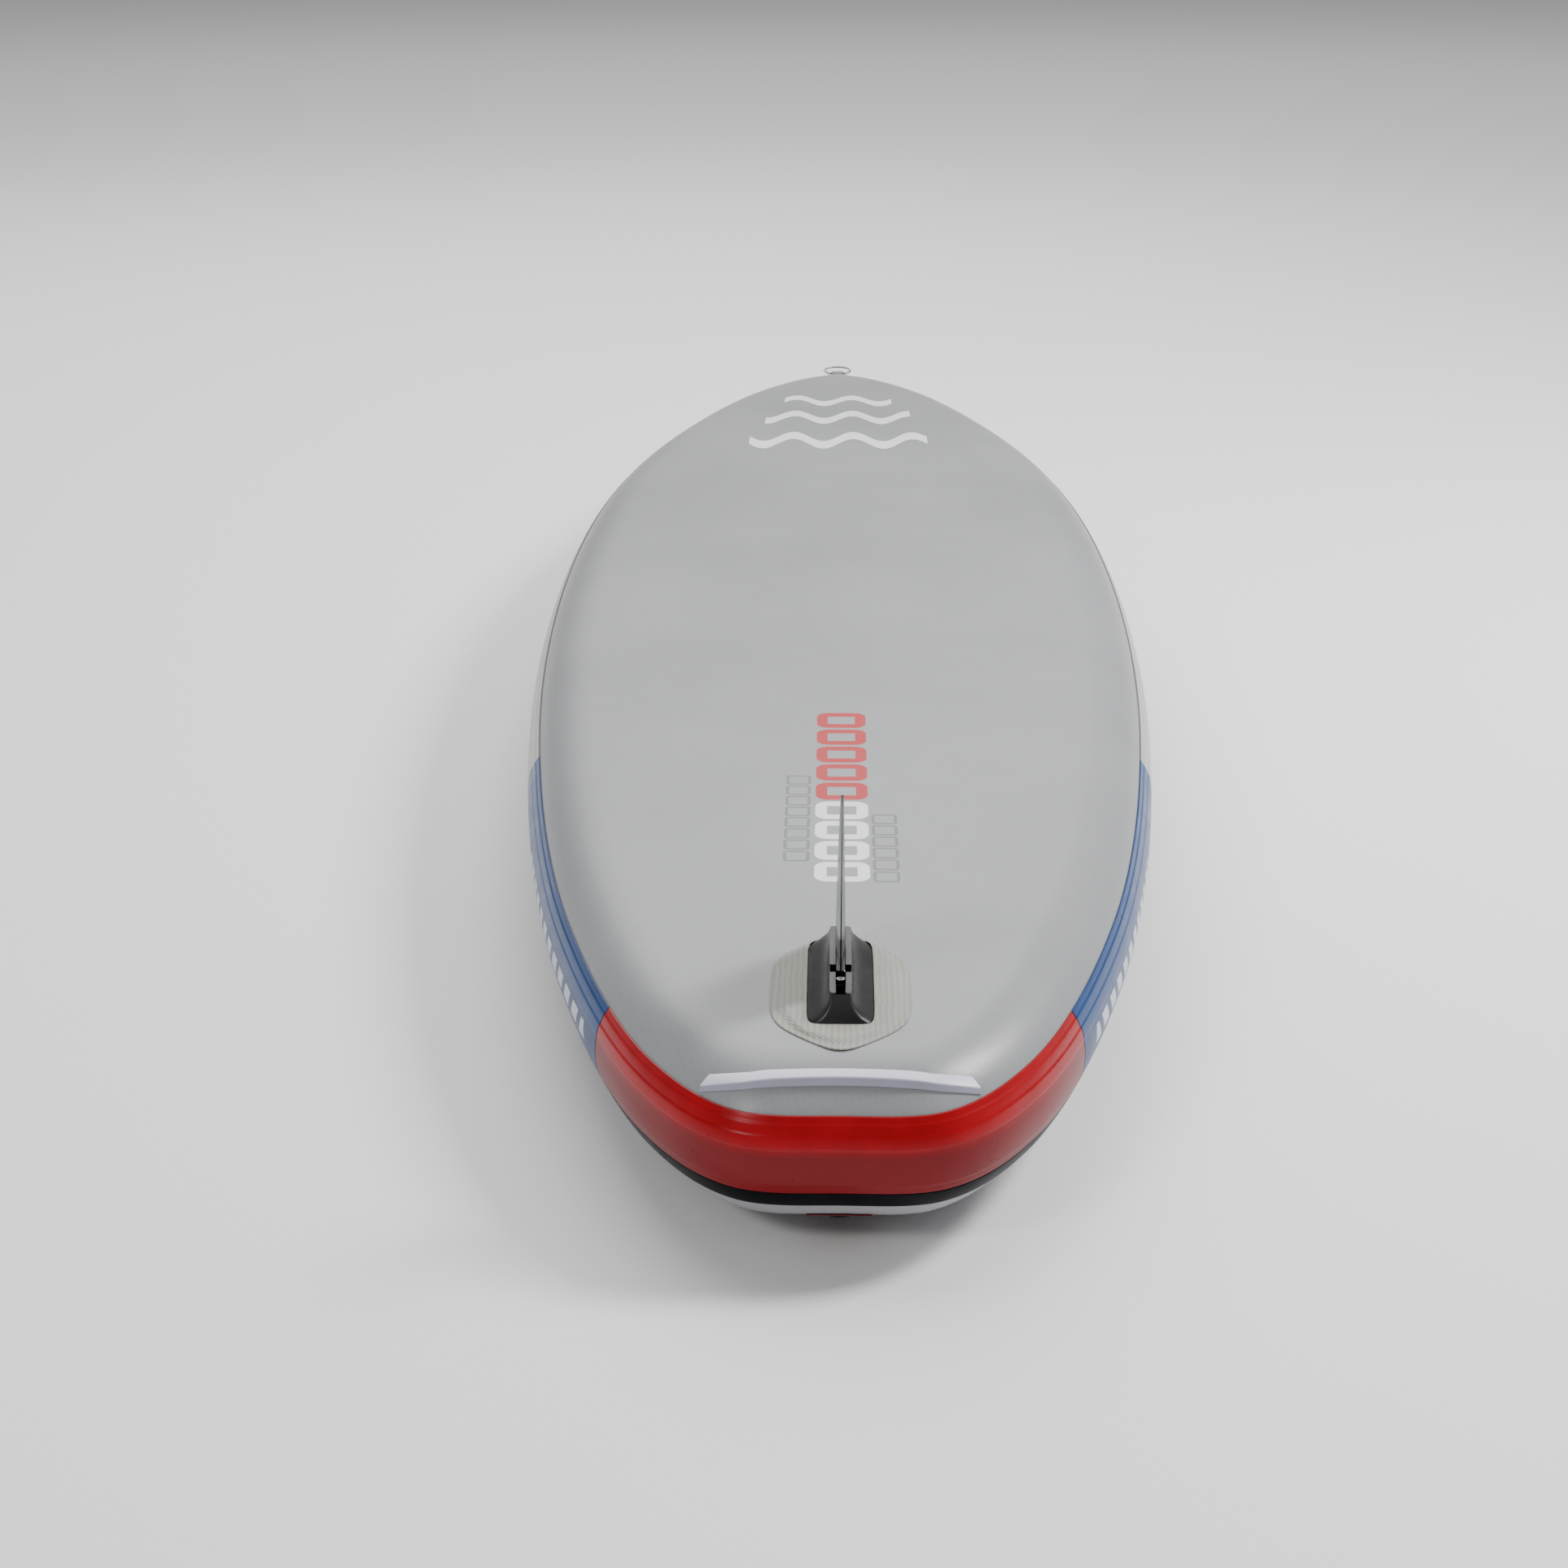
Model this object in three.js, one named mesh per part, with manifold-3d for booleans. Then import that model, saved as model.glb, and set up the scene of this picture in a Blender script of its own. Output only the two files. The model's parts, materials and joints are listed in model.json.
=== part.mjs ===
// Inflatable stand up paddleboard, shown upside down as it is laid out for rigging: hull up, deck
// down, nose towards +Y. Millimetres, +Z up. Every piece is drawn in the board's own frame, where
// y = 0 is the tail end, z = 0 the flat of the hull and x = 0 the centre plane. The whole board is
// then pitched by the small angle at which it lies on its kick pad and its nose.
import * as THREE from 'three';
import { mergeVertices } from 'three/addons/utils/BufferGeometryUtils.js';
import Module from 'manifold-3d';

const wasm = await Module();
wasm.setup();

// ---- driving dimensions ----
const boardLength = 3200;
const boardThickness = 152;
const railRadius = boardThickness / 2;
const noseRocker = 150;          // how far the nose end drops below the flat of the hull
const rockerStart = 0.4;         // fraction of the length where the bottom starts to curve
const rockerPower = 2.3;
const outlineTemplate = [        // distance from the tail end, half width of the skin
  [10, 92], [95, 170], [380, 273], [860, 352], [1410, 379.5],
  [1980, 349], [2500, 256], [2880, 165], [3105, 84],
];
const spanSteps = [3, 3, 3, 2, 2, 2, 2, 3, 3, 3];   // stations in each template span
const gap = 0.3;                 // between pieces that touch
const skinThickness = 1.6;
const wallThickness = 1.2;
const tapeThickness = 1.0;
const seamAngle = 8;             // each skin ends this far from the middle of the rail
const tapeTop = 34.5;            // hull-side edge of the rail tape, degrees round the rail
const tapeBottom = -18.8;
const stripeTop = -19.2;
const stripeBottom = -32;
const sectionAngles = [90, 72, 53, tapeTop, 20, seamAngle, -seamAngle, tapeBottom, stripeTop,
  stripeBottom, -53, -72, -90];
const redTapeEnd = 198;          // where the red tape meets the blue, from the tail end
const blueTapeEnd = 805;
const tapeJointHalf = 0.0004;    // half the gap at a tape joint, as a fraction of the half outline

const patchHalfWidth = 62;       // six-sided fin patch
const patchEnds = [60, 299];
const patchSides = [113, 234];
const finBox = { y0: 104, y1: 266, halfWidth: 29, ridgeHalf: 10, height: 26, base: 4.6 };
const finFlange = { y0: 90, y1: 280, halfWidth: 42, bottom: 1.4, top: 2.9 };
const finSlot = { y0: 118, y1: 243, halfWidth: 4.4, floor: 4.6 };
const finTrack = { halfWidth: 9.5, z0: 9, z1: 15 };
const finNotch = { y0: 159, y1: 173.5 };
const finTab = { y0: 160, y1: 240, halfWidth: 4.05, z0: 5.2, z1: 26.6 };
const finEar = { y0: 146, z0: 13.4, z1: 19.7 };
const blade = { rearFoot: 160, frontFoot: 268, tip: 120, z0: 26.6, z1: 207, halfThickness: 5.2 };
const pin = { y: 226, z: 12, radius: 2.5, halfLength: 8.9 };
const screw = { y: 152.5, shaft: 1.9, head: 3.7, z0: 8.4, seat: 20, top: 23, hole: 2.3 };
const nutPlate = { y0: 147, y1: 158, halfWidth: 8.9, z0: 9.6, z1: 12.9, hole: 2.25 };

const releaseEdge = { endY: 45, centreAngle: 58.5, endAngle: 43, halfWidth: 8, height: 7, lift: 1.2 };

const padThickness = 5;
const padMargin = 34;            // pad edge to the start of the rail
const rearPad = [208, 1240];
const sidePad = [1246, 1574];
const frontPad = [1580, 2350];
const handleWell = 70;           // half width left free for the carry handle
const kickPad = { y0: 214, y1: 300, halfWidth: 125, height: 22, frontHeight: 9 };

const valve = { y: 165, flangeRadius: 30, neckRadius: 22, boreRadius: 15 };
const handle = { y: 1410, halfLength: 150, footLength: 46, halfWidth: 17, drop: 38, strap: 2.6 };
const ringWire = 2;              // radius of both D-ring wires
const noseRing = { halfBar: 17, halfWidth: 25, reach: 27, angle: 66, lift: 6.4, tilt: 14 };
const tailRing = { y: 92, halfBar: 16, halfWidth: 18, reach: 30, drop: 5.2 };
const loopSize = { halfWidth: 12, halfLength: 7, top: 3.6, bore: 2.6 };

// ---- colours and finishes ----
const paint = (color, roughness, metalness = 0) =>
  new THREE.MeshStandardMaterial({ color, roughness, metalness });
const greyHull = () => paint(0xb2b3b7, 0.45);
const blackPlastic = () => paint(0x17171a, 0.3);
const steel = () => paint(0x8f9092, 0.25, 1);
const eva = () => paint(0x3b6fa0, 0.9);
const webbing = () => paint(0x1b1b1d, 0.85);

// ---- the board's shape ----
const rad = THREE.MathUtils.degToRad;
const starboard = [[0, 0], ...outlineTemplate, [boardLength, 0]];
const port = outlineTemplate.map(([y, w]) => [y, -w]).reverse();
const outline = new THREE.CatmullRomCurve3(
  [...starboard, ...port].map(([y, w]) => new THREE.Vector3(w, y, 0)), true, 'centripetal');
const spans = spanSteps.length;

function rocker(y) {
  const s = THREE.MathUtils.clamp((y / boardLength - rockerStart) / (1 - rockerStart), 0, 1.2);
  return noseRocker * s ** rockerPower;
}

// Half outline: t = 0 at the tail end and 1 at the nose, with the rail's centre and outward normal.
function outlineAt(t) {
  const u = t / 2;
  const p = outline.getPoint(u);
  const q = outline.getPoint(u + 1e-5).sub(outline.getPoint((u - 1e-5 + 1) % 1));
  const length = Math.hypot(q.x, q.y);
  const n = { x: q.y / length, y: -q.x / length };
  return { x: p.x, y: p.y, n, cx: Math.max(p.x - railRadius * n.x, 0), cy: p.y - railRadius * n.y };
}

function outlineParameter(y) {
  let low = 0;
  let high = 1;
  for (let k = 0; k < 50; k += 1) {
    const mid = (low + high) / 2;
    if (outlineAt(mid).y < y) low = mid;
    else high = mid;
  }
  return (low + high) / 2;
}

const joints = [redTapeEnd, blueTapeEnd].map(outlineParameter);

function stationList() {
  const list = [];
  spanSteps.forEach((steps, span) => {
    for (let k = 0; k < steps; k += 1) list.push((span + k / steps) / spans);
  });
  list.push(1);
  const clear = list.filter((t) => joints.every((j) => Math.abs(t - j) > 0.012));
  joints.forEach((j) => clear.push(j - tapeJointHalf, j + tapeJointHalf));
  return clear.sort((a, b) => a - b);
}
const stations = stationList();

// A point on the rail: station t, angle round the rail in degrees, distance out from its centre.
function railPoint(t, angle, radius, side = 1) {
  const o = outlineAt(t);
  const out = radius * Math.cos(rad(angle));
  const y = o.cy + out * o.n.y;
  const z = -rocker(y) - railRadius + radius * Math.sin(rad(angle));
  return new THREE.Vector3(side * (o.cx + out * o.n.x), y, z);
}

// ---- solids from grids of points ----
const weldDistance = 2e-3;

// Joins quads into one geometry.
function solidFromQuads(quads) {
  const position = [];
  for (const [a, b, c, d] of quads) {
    for (const v of [a, b, c, a, c, d]) position.push(v.x, v.y, v.z);
  }
  const soup = new THREE.BufferGeometry();
  soup.setAttribute('position', new THREE.Float32BufferAttribute(position, 3));
  return welded(soup);
}

// Merges points that fall together and leaves out the triangles that this empties.
function welded(geometry) {
  const bare = geometry.clone();
  bare.deleteAttribute('normal');
  bare.deleteAttribute('uv');
  const merged = mergeVertices(bare, weldDistance);
  const index = [];
  const old = merged.index.array;
  for (let k = 0; k < old.length; k += 3) {
    const [a, b, c] = [old[k], old[k + 1], old[k + 2]];
    if (a !== b && b !== c && c !== a) index.push(a, b, c);
  }
  merged.setIndex(index);
  return merged;
}

// A sheet with an outer and an inner face: grids of points [row][column], walled at open borders.
// ends says how the first and last rows finish: walled, closed on each other, or folded shut. Each
// cell splits along its first diagonal, or along the other one where mirrored(row, column) is true,
// so that layers that lie on each other have the same facets on both sides of the board.
function sheetSolid(outer, inner, ends = 'walled', mirrored = () => false) {
  const quads = [];
  const cell = (flip, a, b, c, d) => quads.push(flip ? [b, c, d, a] : [a, b, c, d]);
  const rows = outer.length;
  const last = ends === 'closed' ? rows : rows - 1;
  const columns = outer[0].length;
  for (let i = 0; i < last; i += 1) {
    const k = (i + 1) % rows;
    for (let j = 0; j < columns - 1; j += 1) {
      const flip = mirrored(i, j);
      cell(flip, outer[i][j], outer[i][j + 1], outer[k][j + 1], outer[k][j]);
      cell(!flip, inner[k][j], inner[k][j + 1], inner[i][j + 1], inner[i][j]);
    }
    const j = columns - 1;
    quads.push([outer[i][0], outer[k][0], inner[k][0], inner[i][0]]);
    quads.push([outer[i][j], inner[i][j], inner[k][j], outer[k][j]]);
  }
  if (ends === 'walled') {
    for (let j = 0; j < columns - 1; j += 1) {
      const k = rows - 1;
      quads.push([outer[0][j], inner[0][j], inner[0][j + 1], outer[0][j + 1]]);
      quads.push([outer[k][j], outer[k][j + 1], inner[k][j + 1], inner[k][j]]);
    }
  }
  return facingOut(solidFromQuads(quads));
}

// Turns a closed geometry the right way out if its volume comes out negative.
function facingOut(geometry) {
  const p = geometry.attributes.position;
  const at = (k) => new THREE.Vector3().fromBufferAttribute(p, geometry.index.array[k]);
  let volume = 0;
  for (let k = 0; k < geometry.index.count; k += 3) volume += at(k).dot(at(k + 1).cross(at(k + 2)));
  if (volume < 0) {
    const index = geometry.index.array;
    for (let k = 0; k < index.length; k += 3) [index[k], index[k + 1]] = [index[k + 1], index[k]];
  }
  return geometry;
}

const closedSolid = (geometry) => facingOut(welded(geometry));

// A closed tube round a closed loop of points that lie in the plane of `normal`.
function tubeLoop(points, radius, normal, sides = 8) {
  const rings = points.map((p, i) => {
    const before = points[(i + points.length - 1) % points.length];
    const after = points[(i + 1) % points.length];
    const tangent = after.clone().sub(before).normalize();
    const outward = tangent.clone().cross(normal).normalize();
    return Array.from({ length: sides }, (_, k) => {
      const a = (k / sides) * 2 * Math.PI;
      return p.clone().addScaledVector(outward, radius * Math.cos(a))
        .addScaledVector(normal, radius * Math.sin(a));
    });
  });
  const quads = [];
  rings.forEach((ring, i) => {
    const next = rings[(i + 1) % rings.length];
    ring.forEach((v, k) => quads.push([v, ring[(k + 1) % sides], next[(k + 1) % sides], next[k]]));
  });
  return facingOut(solidFromQuads(quads));
}

// A loft through rings of points, closed with a fan at each end.
function loft(rings) {
  const quads = [];
  const middle = (ring) => ring.reduce((s, v) => s.add(v), new THREE.Vector3())
    .multiplyScalar(1 / ring.length);
  const count = rings[0].length;
  rings.slice(1).forEach((ring, i) => {
    for (let k = 0; k < count; k += 1) {
      const m = (k + 1) % count;
      quads.push([rings[i][k], rings[i][m], ring[m], ring[k]]);
    }
  });
  for (const [ring, flip] of [[rings[0], true], [rings.at(-1), false]]) {
    const c = middle(ring);
    for (let k = 0; k < count; k += 1) {
      const [a, b] = flip ? [ring[(k + 1) % count], ring[k]] : [ring[k], ring[(k + 1) % count]];
      quads.push([c, a, b, b]);
    }
  }
  return facingOut(solidFromQuads(quads));
}

// ---- joining and cutting ----
function toManifold(geometry) {
  const merged = welded(geometry);
  return new wasm.Manifold(new wasm.Mesh({
    numProp: 3,
    vertProperties: new Float32Array(merged.attributes.position.array),
    triVerts: new Uint32Array(merged.index.array),
  }));
}

function fromManifold(manifold) {
  const mesh = manifold.getMesh();
  const geometry = new THREE.BufferGeometry();
  geometry.setAttribute('position', new THREE.BufferAttribute(mesh.vertProperties, 3));
  geometry.setIndex(new THREE.BufferAttribute(mesh.triVerts, 1));
  return geometry;
}

const cut = (body, ...tools) => fromManifold(
  tools.reduce((m, tool) => m.subtract(toManifold(tool)), toManifold(body)));
const join = (body, ...others) => fromManifold(
  others.reduce((m, other) => m.add(toManifold(other)), toManifold(body)));
const common = (a, b) => fromManifold(toManifold(a).intersect(toManifold(b)));

function box(x0, x1, y0, y1, z0, z1) {
  return new THREE.BoxGeometry(x1 - x0, y1 - y0, z1 - z0)
    .translate((x0 + x1) / 2, (y0 + y1) / 2, (z0 + z1) / 2);
}

function rodZ(x, y, z0, z1, radius, sides = 16) {
  return new THREE.CylinderGeometry(radius, radius, z1 - z0, sides)
    .rotateX(Math.PI / 2).translate(x, y, (z0 + z1) / 2);
}

function rodX(y, z, halfLength, radius, sides = 12) {
  return new THREE.CylinderGeometry(radius, radius, 2 * halfLength, sides)
    .rotateZ(Math.PI / 2).translate(0, y, z);
}

// A plan outline raised from z0 to z1.
function plate(shape, z0, z1, curveSegments = 4) {
  return new THREE.ExtrudeGeometry(shape, { depth: z1 - z0, bevelEnabled: false, curveSegments })
    .translate(0, 0, z0);
}

// A profile of (y, z) points carried from x0 to x1.
function profileAcross(points, x0, x1) {
  const shape = new THREE.Shape(points.map(([y, z]) => new THREE.Vector2(y, z)));
  return new THREE.ExtrudeGeometry(shape, { depth: x1 - x0, bevelEnabled: false })
    .rotateY(Math.PI / 2).rotateX(Math.PI / 2).translate(x0, 0, 0);
}

// A closed radius-height profile turned about the valve's axis, heights counted up from the deck's
// outer face into the board.
function turned(profile, segments = 20) {
  const points = [...profile, profile[0]].map(([r, h]) => new THREE.Vector2(r, h));
  const lathe = new THREE.LatheGeometry(points, segments).rotateX(Math.PI / 2);
  return closedSolid(lathe).translate(0, valve.y, -boardThickness);
}

// ---- the group ----
const board = new THREE.Group();

function add(name, geometry, material) {
  const mesh = new THREE.Mesh(geometry, material);
  mesh.name = name;
  board.add(mesh);
  return mesh;
}

// ---- skins, side walls and drop-stitch yarns ----
// One skin: port rail, straight across the flat, starboard rail, for every station.
function skinGrid(angles, radius) {
  return stations.map((t) => [
    ...angles.map((a) => railPoint(t, a, radius, -1)),
    ...[...angles].reverse().map((a) => railPoint(t, a, radius)),
  ]);
}

function skin(sign) {
  const angles = sectionAngles.map((a) => a * sign).filter((a) => a >= seamAngle)
    .sort((a, b) => a - b).map((a) => a * sign);
  const inner = railRadius - skinThickness;
  const portCells = angles.length - 1;
  return sheetSolid(skinGrid(angles, railRadius), skinGrid(angles, inner), 'folded',
    (row, column) => (column < portCells) === (sign > 0));
}

// A band on one side of the board, which stops just short of the centre plane at the ends.
function railBand(angles, r0, r1, list, side) {
  const point = (t, a, radius) => {
    const p = railPoint(t, a, radius, side);
    p.x = side * Math.max(Math.abs(p.x), gap);
    return p;
  };
  const grid = (radius) => list.map((t) => angles.map((a) => point(t, a, radius)));
  return sheetSolid(grid(r1), grid(r0));
}

const between = (top, bottom) => sectionAngles.filter((a) => a <= top && a >= bottom);

function sideWall(side) {
  const outer = railRadius - skinThickness - gap;
  return railBand(between(tapeTop, stripeBottom), outer - wallThickness, outer, stations, side);
}

// The yarns that hold the two skins apart, drawn as one thin web that runs up and down between them.
function yarnWeb() {
  const pitch = 68;
  const inset = skinThickness + 1.7;
  const halfThread = 0.8;
  const firstFold = 214;
  const bends = [0, 6, 18, 30, 39]; // folds at which its straight sides change direction
  const rowY = (k) => firstFold + k * pitch;
  const halfAt = (k) => {
    const n = Math.max(1, bends.findIndex((bend) => bend >= k));
    const [a, b] = [bends[n - 1], bends[n]];
    const [halfA, halfB] = [a, b].map((bend) => flatHalfWidth(rowY(bend)) - 8);
    return halfA + (halfB - halfA) * (k - a) / (b - a);
  };
  const layer = (dz) => Array.from({ length: bends[bends.length - 1] + 1 }, (_, k) => {
    const z = -rocker(rowY(k)) - (k % 2 ? boardThickness - inset : inset) + dz;
    return [new THREE.Vector3(-halfAt(k), rowY(k), z), new THREE.Vector3(halfAt(k), rowY(k), z)];
  });
  return sheetSolid(layer(halfThread), layer(-halfThread));
}

function flatHalfWidth(y) {
  let low = 0;
  let high = 1;
  for (let k = 0; k < 40; k += 1) {
    const mid = (low + high) / 2;
    if (outlineAt(mid).cy < y) low = mid;
    else high = mid;
  }
  return outlineAt(low).cx;
}

function buildHull() {
  add('hull_skin', skin(1), greyHull());
  const neck = rodZ(0, valve.y, -boardThickness - 5, -boardThickness + 8, valve.neckRadius + 0.6, 20);
  add('deck_skin', cut(skin(-1), neck), paint(0x8f8c91, 0.5));
  add('rail_wall_left', sideWall(-1), paint(0x4a4b50, 0.7));
  add('rail_wall_right', sideWall(1), paint(0x4a4b50, 0.7));
  add('drop_stitch_yarns', yarnWeb(), paint(0xe6e4dd, 0.9));
}

// ---- rail tapes ----
function wholeRing(angles, r0, r1) {
  const starboardSide = stations.map((t) => [t, 1]);
  const portSide = [...stations].reverse().slice(1, -1).map((t) => [t, -1]);
  const grid = (radius) => [...starboardSide, ...portSide]
    .map(([t, side]) => angles.map((a) => railPoint(t, a, radius, side)));
  return sheetSolid(grid(r1), grid(r0), 'closed', (row) => row >= stations.length - 1);
}

function tailTape(angles, r0, r1) {
  const list = stations.filter((t) => t <= joints[0] - tapeJointHalf + 1e-9);
  const round = [...[...list].reverse().map((t) => [t, -1]), ...list.slice(1).map((t) => [t, 1])];
  const grid = (radius) => round.map(([t, side]) => angles.map((a) => railPoint(t, a, radius, side)));
  return sheetSolid(grid(r1), grid(r0), 'walled', (row) => row < list.length - 1);
}

function buildTapes() {
  const angles = between(tapeTop, tapeBottom);
  const inner = railRadius + gap;
  const outer = inner + tapeThickness;
  const inRange = (low, high) => stations.filter((t) => t >= low - 1e-9 && t <= high + 1e-9);
  add('rail_tape_tail', tailTape(angles, inner, outer), paint(0xb02a33, 0.3));
  const middle = inRange(joints[0] + tapeJointHalf, joints[1] - tapeJointHalf);
  const fore = inRange(joints[1] + tapeJointHalf, 1);
  for (const [name, side] of [['left', -1], ['right', 1]]) {
    add(`rail_tape_${name}_mid`, railBand(angles, inner, outer, middle, side), paint(0x3f6396, 0.35));
    add(`rail_tape_${name}_fore`, railBand(angles, inner, outer, fore, side), paint(0xb9bcbb, 0.4));
  }
  const stripe = wholeRing([stripeTop, stripeBottom], inner, outer);
  add('rail_stripe', stripe, paint(0x18181a, 0.35));
}

// A raised plastic strip glued across the tail, which gives the water a sharp edge to leave from.
function buildReleaseEdge() {
  const halfAngle = THREE.MathUtils.radToDeg(releaseEdge.halfWidth / railRadius);
  const end = outlineParameter(releaseEdge.endY);
  const steps = 12;
  const grid = (radius) => Array.from({ length: steps + 1 }, (_, k) => {
    const u = (2 * k) / steps - 1;
    const side = u < 0 ? -1 : 1;
    const t = Math.abs(u) * end;
    const angle = releaseEdge.centreAngle - (releaseEdge.centreAngle - releaseEdge.endAngle) * u * u;
    return [angle - halfAngle, angle + halfAngle].map((a) => railPoint(t, a, radius, side));
  });
  const low = railRadius + releaseEdge.lift;
  add('release_edge', sheetSolid(grid(low + releaseEdge.height), grid(low)), paint(0xe9e8f0, 0.35));
}

// ---- fin patch, box, fin and its fastenings ----
function patchShape(grow) {
  const [y0, y1] = patchEnds;
  const [s0, s1] = patchSides;
  const w = patchHalfWidth + grow;
  const shape = new THREE.Shape();
  const bend = 12;
  shape.moveTo(-bend, y0 - grow + 3);
  shape.quadraticCurveTo(0, y0 - grow, bend, y0 - grow + 3);
  shape.lineTo(w - bend, s0 - 5 - grow);
  shape.quadraticCurveTo(w, s0 - grow, w, s0 + bend);
  shape.lineTo(w, s1 - bend);
  shape.quadraticCurveTo(w, s1 + grow, w - bend, s1 + 5 + grow);
  shape.lineTo(bend, y1 + grow - 3);
  shape.quadraticCurveTo(0, y1 + grow, -bend, y1 + grow - 3);
  shape.lineTo(-w + bend, s1 + 5 + grow);
  shape.quadraticCurveTo(-w, s1 + grow, -w, s1 - bend);
  shape.lineTo(-w, s0 + bend);
  shape.quadraticCurveTo(-w, s0 - grow, -w + bend, s0 - 5 - grow);
  return shape;
}

function roundedPlan(y0, y1, halfWidth, corner) {
  const shape = new THREE.Shape();
  shape.moveTo(-halfWidth + corner, y0);
  shape.lineTo(halfWidth - corner, y0);
  shape.quadraticCurveTo(halfWidth, y0, halfWidth, y0 + corner);
  shape.lineTo(halfWidth, y1 - corner);
  shape.quadraticCurveTo(halfWidth, y1, halfWidth - corner, y1);
  shape.lineTo(-halfWidth + corner, y1);
  shape.quadraticCurveTo(-halfWidth, y1, -halfWidth, y1 - corner);
  shape.lineTo(-halfWidth, y0 + corner);
  shape.quadraticCurveTo(-halfWidth, y0, -halfWidth + corner, y0);
  return shape;
}

// Bell-shaped ridge: hollow flanks that rise from the flange to a narrow flat top.
function ridgeSolid() {
  const { halfWidth, ridgeHalf, height, base, y0, y1 } = finBox;
  const flank = (u) => [ridgeHalf + (halfWidth - ridgeHalf) * (1 - u) ** 2.2, base + (height - base) * u];
  const right = Array.from({ length: 6 }, (_, k) => flank(k / 5));
  const section = [[halfWidth, finFlange.top], ...right]
    .concat([...right].reverse().map(([x, z]) => [-x, z]), [[-halfWidth, finFlange.top]]);
  const shape = new THREE.Shape(section.map(([x, z]) => new THREE.Vector2(x, z)));
  const along = new THREE.ExtrudeGeometry(shape, { depth: y1 - y0, bevelEnabled: false })
    .rotateX(Math.PI / 2).translate(0, y1, 0);
  const scoop = (u) => [y0 + 15 * u ** 1.6, base + (height - base) * u];
  const rear = Array.from({ length: 5 }, (_, k) => scoop(k / 4));
  const side = [[y0, finFlange.top - 1], ...rear]
    .concat([...rear].reverse().map(([y, z]) => [y0 + y1 - y, z]), [[y1, finFlange.top - 1]]);
  const ends = profileAcross(side, -halfWidth - 1, halfWidth + 1);
  const corners = plate(roundedPlan(y0, y1, halfWidth, 12), 0, height + 2);
  return common(common(along, ends), corners);
}

function buildFinBox() {
  const window = plate(roundedPlan(finBox.y0 - 0.5, finBox.y1 + 0.5, finBox.halfWidth + 0.5, 12), 0, 9);
  add('fin_patch_base', plate(patchShape(-9), gap, 1.1), paint(0xb5b6b0, 0.6));
  add('fin_patch_top', cut(plate(patchShape(0), 3.2, 4.2), window), paint(0xbabab3, 0.6));
  const flange = plate(
    roundedPlan(finFlange.y0, finFlange.y1, finFlange.halfWidth, 20), finFlange.bottom, finFlange.top);
  const slot = box(-finSlot.halfWidth, finSlot.halfWidth, finSlot.y0, finSlot.y1, finSlot.floor, 40);
  const track = box(-finTrack.halfWidth, finTrack.halfWidth, finSlot.y0, finSlot.y1,
    finTrack.z0, finTrack.z1);
  const notch = box(-finTrack.halfWidth, finTrack.halfWidth, finNotch.y0, finNotch.y1,
    finTrack.z0, 40);
  add('fin_box', cut(join(flange, ridgeSolid()), slot, track, notch), blackPlastic());
}

// Chord ends of the blade at a height fraction h.
const leadingEdge = (h) => blade.tip + (blade.frontFoot - blade.tip) * (1 - h ** 1.9) ** 0.8;
const trailingEdge = (h) => blade.rearFoot - (blade.rearFoot - blade.tip) * h ** 1.25;

function bladeSolid() {
  const levels = [0, 0.12, 0.26, 0.42, 0.58, 0.72, 0.84, 0.93, 0.985];
  const half = 7;
  const rings = levels.map((h) => {
    const [y0, y1] = [trailingEdge(h), leadingEdge(h)];
    const thick = blade.halfThickness * (1 - 0.72 * h);
    const z = blade.z0 + (blade.z1 - blade.z0) * h;
    const at = (u, sign) => new THREE.Vector3(
      sign * thick * (1.9 * Math.sqrt(u) * (1 - u) ** 0.9 + 0.12), y1 - (y1 - y0) * u, z);
    const front = Array.from({ length: half + 1 }, (_, k) => at((k / half) ** 1.5, 1));
    const back = Array.from({ length: half + 1 }, (_, k) => at(((half - k) / half) ** 1.5, -1));
    return [...front, ...back];
  });
  return loft(rings);
}

function buildFin() {
  const tab = box(-finTab.halfWidth, finTab.halfWidth, finTab.y0, finTab.y1, finTab.z0, finTab.z1 + 2);
  const ear = box(-finTab.halfWidth, finTab.halfWidth, finEar.y0, finTab.y0 + 1, finEar.z0, finEar.z1);
  const pinHole = rodX(pin.y, pin.z, 12, pin.radius + gap);
  const screwHole = rodZ(0, screw.y, finEar.z0 - 1, finEar.z1 + 1, screw.hole, 12);
  add('fin', cut(join(bladeSolid(), tab, ear), pinHole, screwHole), blackPlastic());
  add('fin_cross_pin', rodX(pin.y, pin.z, pin.halfLength, pin.radius), steel());
  const plateHole = rodZ(0, screw.y, nutPlate.z0 - 1, nutPlate.z1 + 1, nutPlate.hole, 12);
  add('fin_nut_plate', cut(box(-nutPlate.halfWidth, nutPlate.halfWidth, nutPlate.y0, nutPlate.y1,
    nutPlate.z0, nutPlate.z1), plateHole), steel());
  const head = rodZ(0, screw.y, screw.seat, screw.top, screw.head, 16);
  const slotCut = box(-3, 3, screw.y - 0.5, screw.y + 0.5, screw.top - 1, screw.top + 1);
  const shaft = rodZ(0, screw.y, screw.z0, screw.seat + 1, screw.shaft, 12);
  add('fin_screw', cut(join(head, shaft), slotCut), steel());
}

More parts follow.
